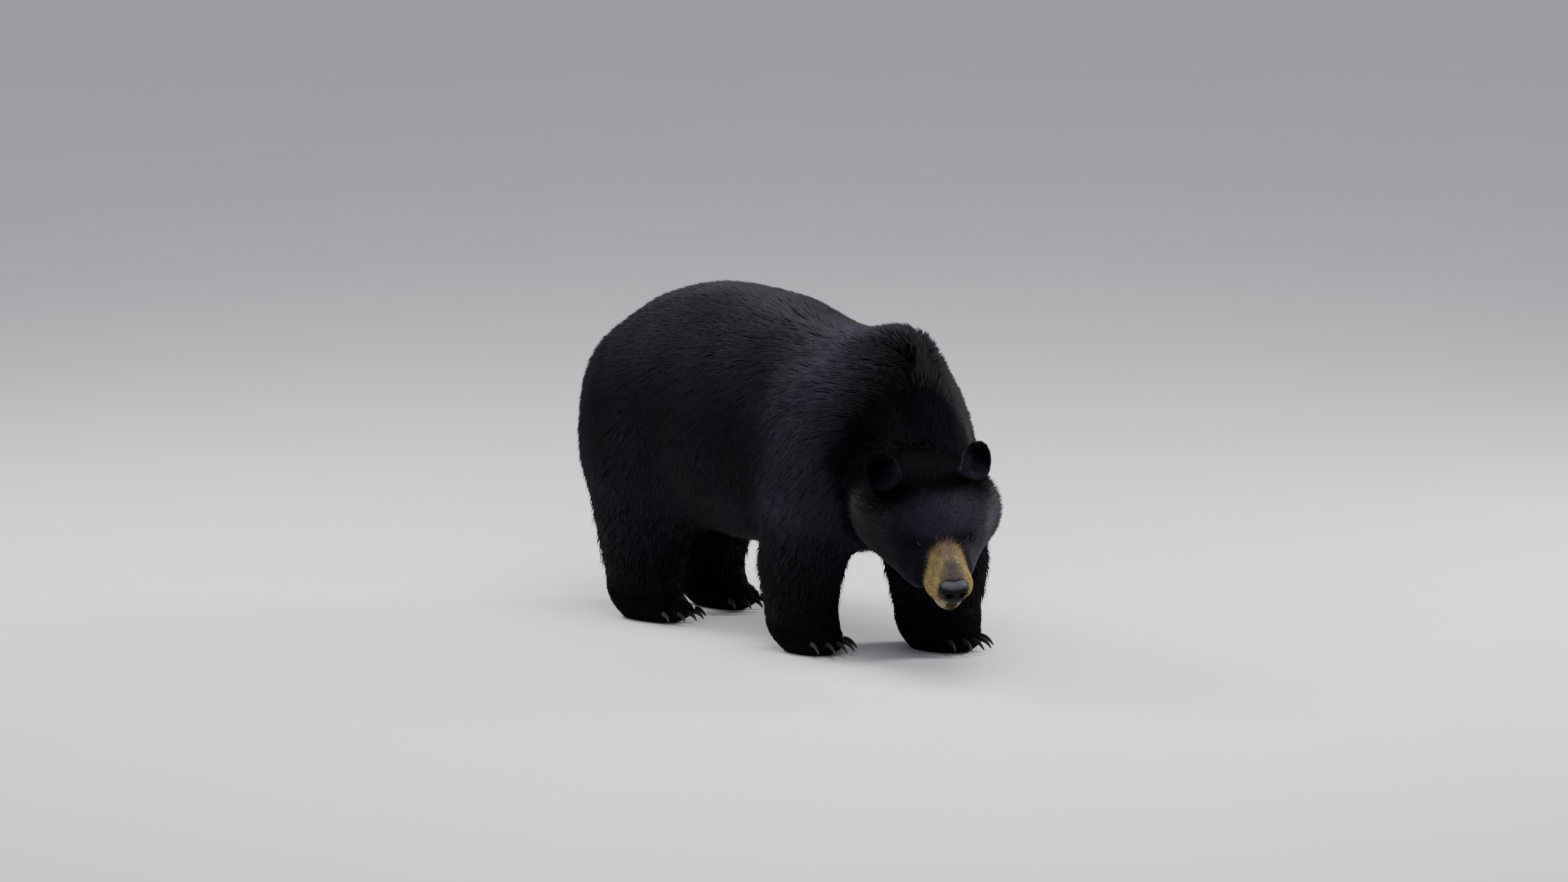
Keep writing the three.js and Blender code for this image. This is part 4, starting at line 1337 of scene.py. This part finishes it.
class BEAR_OT_nose(bpy.types.Operator):
    """Make the nose pad, with its nostrils, the groove between them and its pebbled leather"""

    bl_idname = "bear.nose"
    bl_label = "Nose"

    def execute(self, context):
        points, faces = ball(120, 144)
        x, y, z = points.T
        # Squarer than a ball, so that the top is a shelf and the front is flat.
        boxy = (np.abs(points) ** BOXY).sum(axis=1) ** (-1 / BOXY)
        shaped = points * boxy[:, None] * NOSE_RADII
        shaped[:, 0] *= 1 - 0.36 * smooth(-z, -0.15, 0.95)
        shaped[:, 1] += smooth(-z, 0.1, 0.9) * 3.0
        normal = unit(points / NOSE_RADII)
        front = smooth(-y, 0.0, 0.25)
        push = np.zeros(len(points))
        inside = np.zeros(len(points))
        for side in (1, -1):
            u, v = side * x - 0.44, z - 0.10
            hole = bell(np.hypot(u, v * 1.25), 0.125) * front
            rim = bell(np.hypot(u, v * 1.1) - 0.27, 0.075) * front
            slit = bell(v + 0.12 + 0.75 * (u - 0.12), 0.055) * smooth(u, 0.02, 0.14)
            slit *= smooth(0.50 - u, 0, 0.1) * smooth(-y, -0.25, 0.0)
            push += rim * 1.5 - hole * 12.0 - slit * 5.0
            inside = np.maximum(inside, np.maximum(hole * 1.3, slit))
        groove = bell(x, 0.04) * smooth(0.15 - z, 0.0, 0.25) * front
        saddle = bell(x, 0.14) * smooth(z, 0.2, 0.6)
        push -= groove * 2.6 + saddle * 0.7
        shaped += normal * push[:, None]
        made = facing_out(mesh_object("nose_pad", from_head(NOSE_IN_HEAD + shaped), faces))
        # The top of the pad, outside the nostrils, is painted paler and bluer: a painted reflection of the sky.
        store(made.data, "patch_dim_and_painted_light", smooth(z, 0.42, 0.75) * smooth(push, -3.0, -0.5))
        # Inside the nostrils: painted shade.
        store(made.data, "inside", np.clip(inside, 0, 1))
        made.data.materials.append(nose_material())
        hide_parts("nose")
        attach(made, "root")
        return {"FINISHED"}


# A claw's horn, in metres: its rings and the points around each, its radius at the root, how flat it is
# sideways, and how far its root goes into the toe.
HORN_RINGS = 12
HORN_AROUND = 14
HORN_RADIUS = 0.0068
HORN_FLATNESS = 0.72
HORN_SUNK = 0.006


def claw_line(solid):
    """The middle line of the claw that fills the solid, from inside the toe to the tip."""
    root = solid[solid[:, 1] > solid[:, 1].max() - 0.004].mean(axis=0)
    tip = solid[np.argmin(solid[:, 1] + solid[:, 2] * 0.5)]
    knee = root + (tip - root) * (0.5, 0.55, 0.0) + (0, 0, 0.001)
    root = root + (0, HORN_SUNK, 0.0)
    share = np.linspace(0, 1, HORN_RINGS)[:, None]
    return root * (1 - share) ** 2 + knee * 2 * share * (1 - share) + tip * share**2


def horn(line):
    """Points and faces of a tube along the line, tapering to a blunt tip."""
    share = np.linspace(0, 1, HORN_RINGS)[:, None]
    run = unit(np.gradient(line, axis=0))
    side = unit(np.cross(run, (0, 0, 1)))
    over = np.cross(side, run)
    thick = HORN_RADIUS * np.sqrt(np.clip(1 - share**1.6 * 0.97, 0.02, 1))
    strips = []
    for n in range(HORN_AROUND):
        angle = n / HORN_AROUND * 2 * math.pi
        sideways = side * (math.cos(angle) * thick * HORN_FLATNESS)
        strips.append(line + sideways + over * (math.sin(angle) * thick))
    points = np.stack(strips, axis=1).reshape(-1, 3)
    points = np.concatenate([points, line[:1], line[-1:] + run[-1:] * 0.0004])
    points[:, 2] = np.maximum(points[:, 2], 0.0005)
    last = (HORN_RINGS - 1) * HORN_AROUND
    root_point, tip_point = last + HORN_AROUND, last + HORN_AROUND + 1
    faces = []
    for ring in range(0, last, HORN_AROUND):
        for n in range(HORN_AROUND):
            a, b = ring + n, ring + (n + 1) % HORN_AROUND
            faces += [(a, b, b + HORN_AROUND), (a, b + HORN_AROUND, a + HORN_AROUND)]
    for n in range(HORN_AROUND):
        after = (n + 1) % HORN_AROUND
        faces += [(root_point, after, n), (tip_point, last + n, last + after)]
    return points, np.array(faces)


class BEAR_OT_claws(bpy.types.Operator):
    """Make the claws: curved horn, deeper than wide, each in its solid's place"""

    bl_idname = "bear.claws"
    bl_label = "Claws"

    def execute(self, context):
        material = claw_material()
        for node in CLAWS:
            points, faces = horn(claw_line(points_of(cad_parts[node].data)))
            made = facing_out(mesh_object(f"horn_{node}", points, faces))
            share = np.repeat(np.linspace(0, 1, HORN_RINGS), HORN_AROUND)
            store(made.data, "along", np.concatenate([share, [0, 1]]))
            made.data.materials.append(material)
            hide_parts(node)
            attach(made, "root")
        return {"FINISHED"}


# ---------------------------------------------------------------- stage


class BEAR_OT_stage(bpy.types.Operator):
    """Set the plain pale floor, the soft studio lights and the camera"""

    bl_idname = "bear.stage"
    bl_label = "Stage"

    def execute(self, context):
        stage = context.scene.bear_stage
        corner = 60.0
        corners = np.array([(-1, -1, 0), (1, -1, 0), (1, 1, 0), (-1, 1, 0)]) * corner
        floor = mesh_object("floor", corners, np.array([(0, 1, 2, 3)]), smooth_shaded=False)
        floor.data.materials.append(self.floor_material(stage))
        self.lights(context)
        self.camera(context, stage)
        return {"FINISHED"}

    def floor_material(self, stage):
        material = bpy.data.materials.new("Floor")
        tree, shader = node_tree(material)
        noise = noise_at(tree, 3)
        dim = tuple(c * 0.96 for c in stage.floor)
        plain = mixed(tree, noise.outputs["Fac"], (*dim, 1.0), (*stage.floor, 1.0))
        tree.links.new(plain, shader.inputs["Base Color"])
        shader.inputs["Roughness"].default_value = 0.8
        return material

    def lights(self, context):
        world = bpy.data.worlds.new("Studio")
        world.use_nodes = True
        world.node_tree.nodes["Background"].inputs["Color"].default_value = (0.86, 0.9, 1.0, 1.0)
        world.node_tree.nodes["Background"].inputs["Strength"].default_value = 0.55
        context.scene.world = world
        aim = Vector((0, -0.2, 0.5))
        for name, place, size, power, colour in (
            ("overhead", (-0.6, -1.4, 4.4), 3.0, 230, (0.97, 0.97, 1.0)),
            ("key", (-3.4, -4.2, 3.4), 1.2, 60, (0.93, 0.95, 1.0)),
            ("edge", (3.6, -1.6, 2.4), 1.2, 155, (0.95, 0.97, 1.0)),
            ("back", (-1.2, 3.0, 3.4), 1.6, 170, (0.95, 0.95, 1.0)),
        ):
            data = bpy.data.lights.new(name, "AREA")
            data.size = size
            data.energy = power
            data.color = colour
            lamp = bpy.data.objects.new(name, data)
            lamp.location = place
            lamp.rotation_euler = (aim - Vector(place)).to_track_quat("-Z", "Y").to_euler()
            context.collection.objects.link(lamp)

    def camera(self, context, stage):
        data = bpy.data.cameras.new("camera")
        data.lens = stage.lens
        data.clip_end = 200
        camera = bpy.data.objects.new("camera", data)
        turn, lift = math.radians(stage.azimuth), math.radians(stage.elevation)
        back = Vector((math.sin(turn) * math.cos(lift), -math.cos(turn) * math.cos(lift), math.sin(lift)))
        camera.location = Vector(stage.aim) + back * stage.distance
        camera.rotation_euler = (-back).to_track_quat("-Z", "Y").to_euler()
        context.collection.objects.link(camera)
        context.scene.camera = camera


class BEAR_PT_panel(bpy.types.Panel):
    """The steps of the bear, in order, with their settings"""

    bl_idname = "BEAR_PT_panel"
    bl_label = "Black bear"
    bl_space_type = "VIEW_3D"
    bl_region_type = "UI"
    bl_category = "Bear"

    def draw(self, context):
        for settings in (context.scene.bear_skin, context.scene.bear_coat, context.scene.bear_stage):
            box = self.layout.box()
            for name in settings.bl_rna.properties.keys():
                if name not in ("rna_type", "name"):
                    box.prop(settings, name)
        for step in STEPS:
            self.layout.operator(step)


STEPS = (
    "bear.skin",
    "bear.body_coat",
    "bear.leg_coat",
    "bear.head_coat",
    "bear.eyes",
    "bear.nose",
    "bear.claws",
    "bear.stage",
)
CLASSES = (
    BearSkinSettings,
    BearCoatSettings,
    BearStageSettings,
    BEAR_OT_skin,
    BEAR_OT_body_coat,
    BEAR_OT_leg_coat,
    BEAR_OT_head_coat,
    BEAR_OT_eyes,
    BEAR_OT_nose,
    BEAR_OT_claws,
    BEAR_OT_stage,
    BEAR_PT_panel,
)


def register():
    for cls in CLASSES:
        bpy.utils.register_class(cls)
    bpy.types.Scene.bear_skin = bpy.props.PointerProperty(type=BearSkinSettings)
    bpy.types.Scene.bear_coat = bpy.props.PointerProperty(type=BearCoatSettings)
    bpy.types.Scene.bear_stage = bpy.props.PointerProperty(type=BearStageSettings)


def unregister():
    del bpy.types.Scene.bear_skin, bpy.types.Scene.bear_coat, bpy.types.Scene.bear_stage
    for cls in reversed(CLASSES):
        bpy.utils.unregister_class(cls)


def main():
    register()
    for step in STEPS:
        group, name = step.split(".")
        getattr(getattr(bpy.ops, group), name)()


if __name__ == "__main__":
    main()
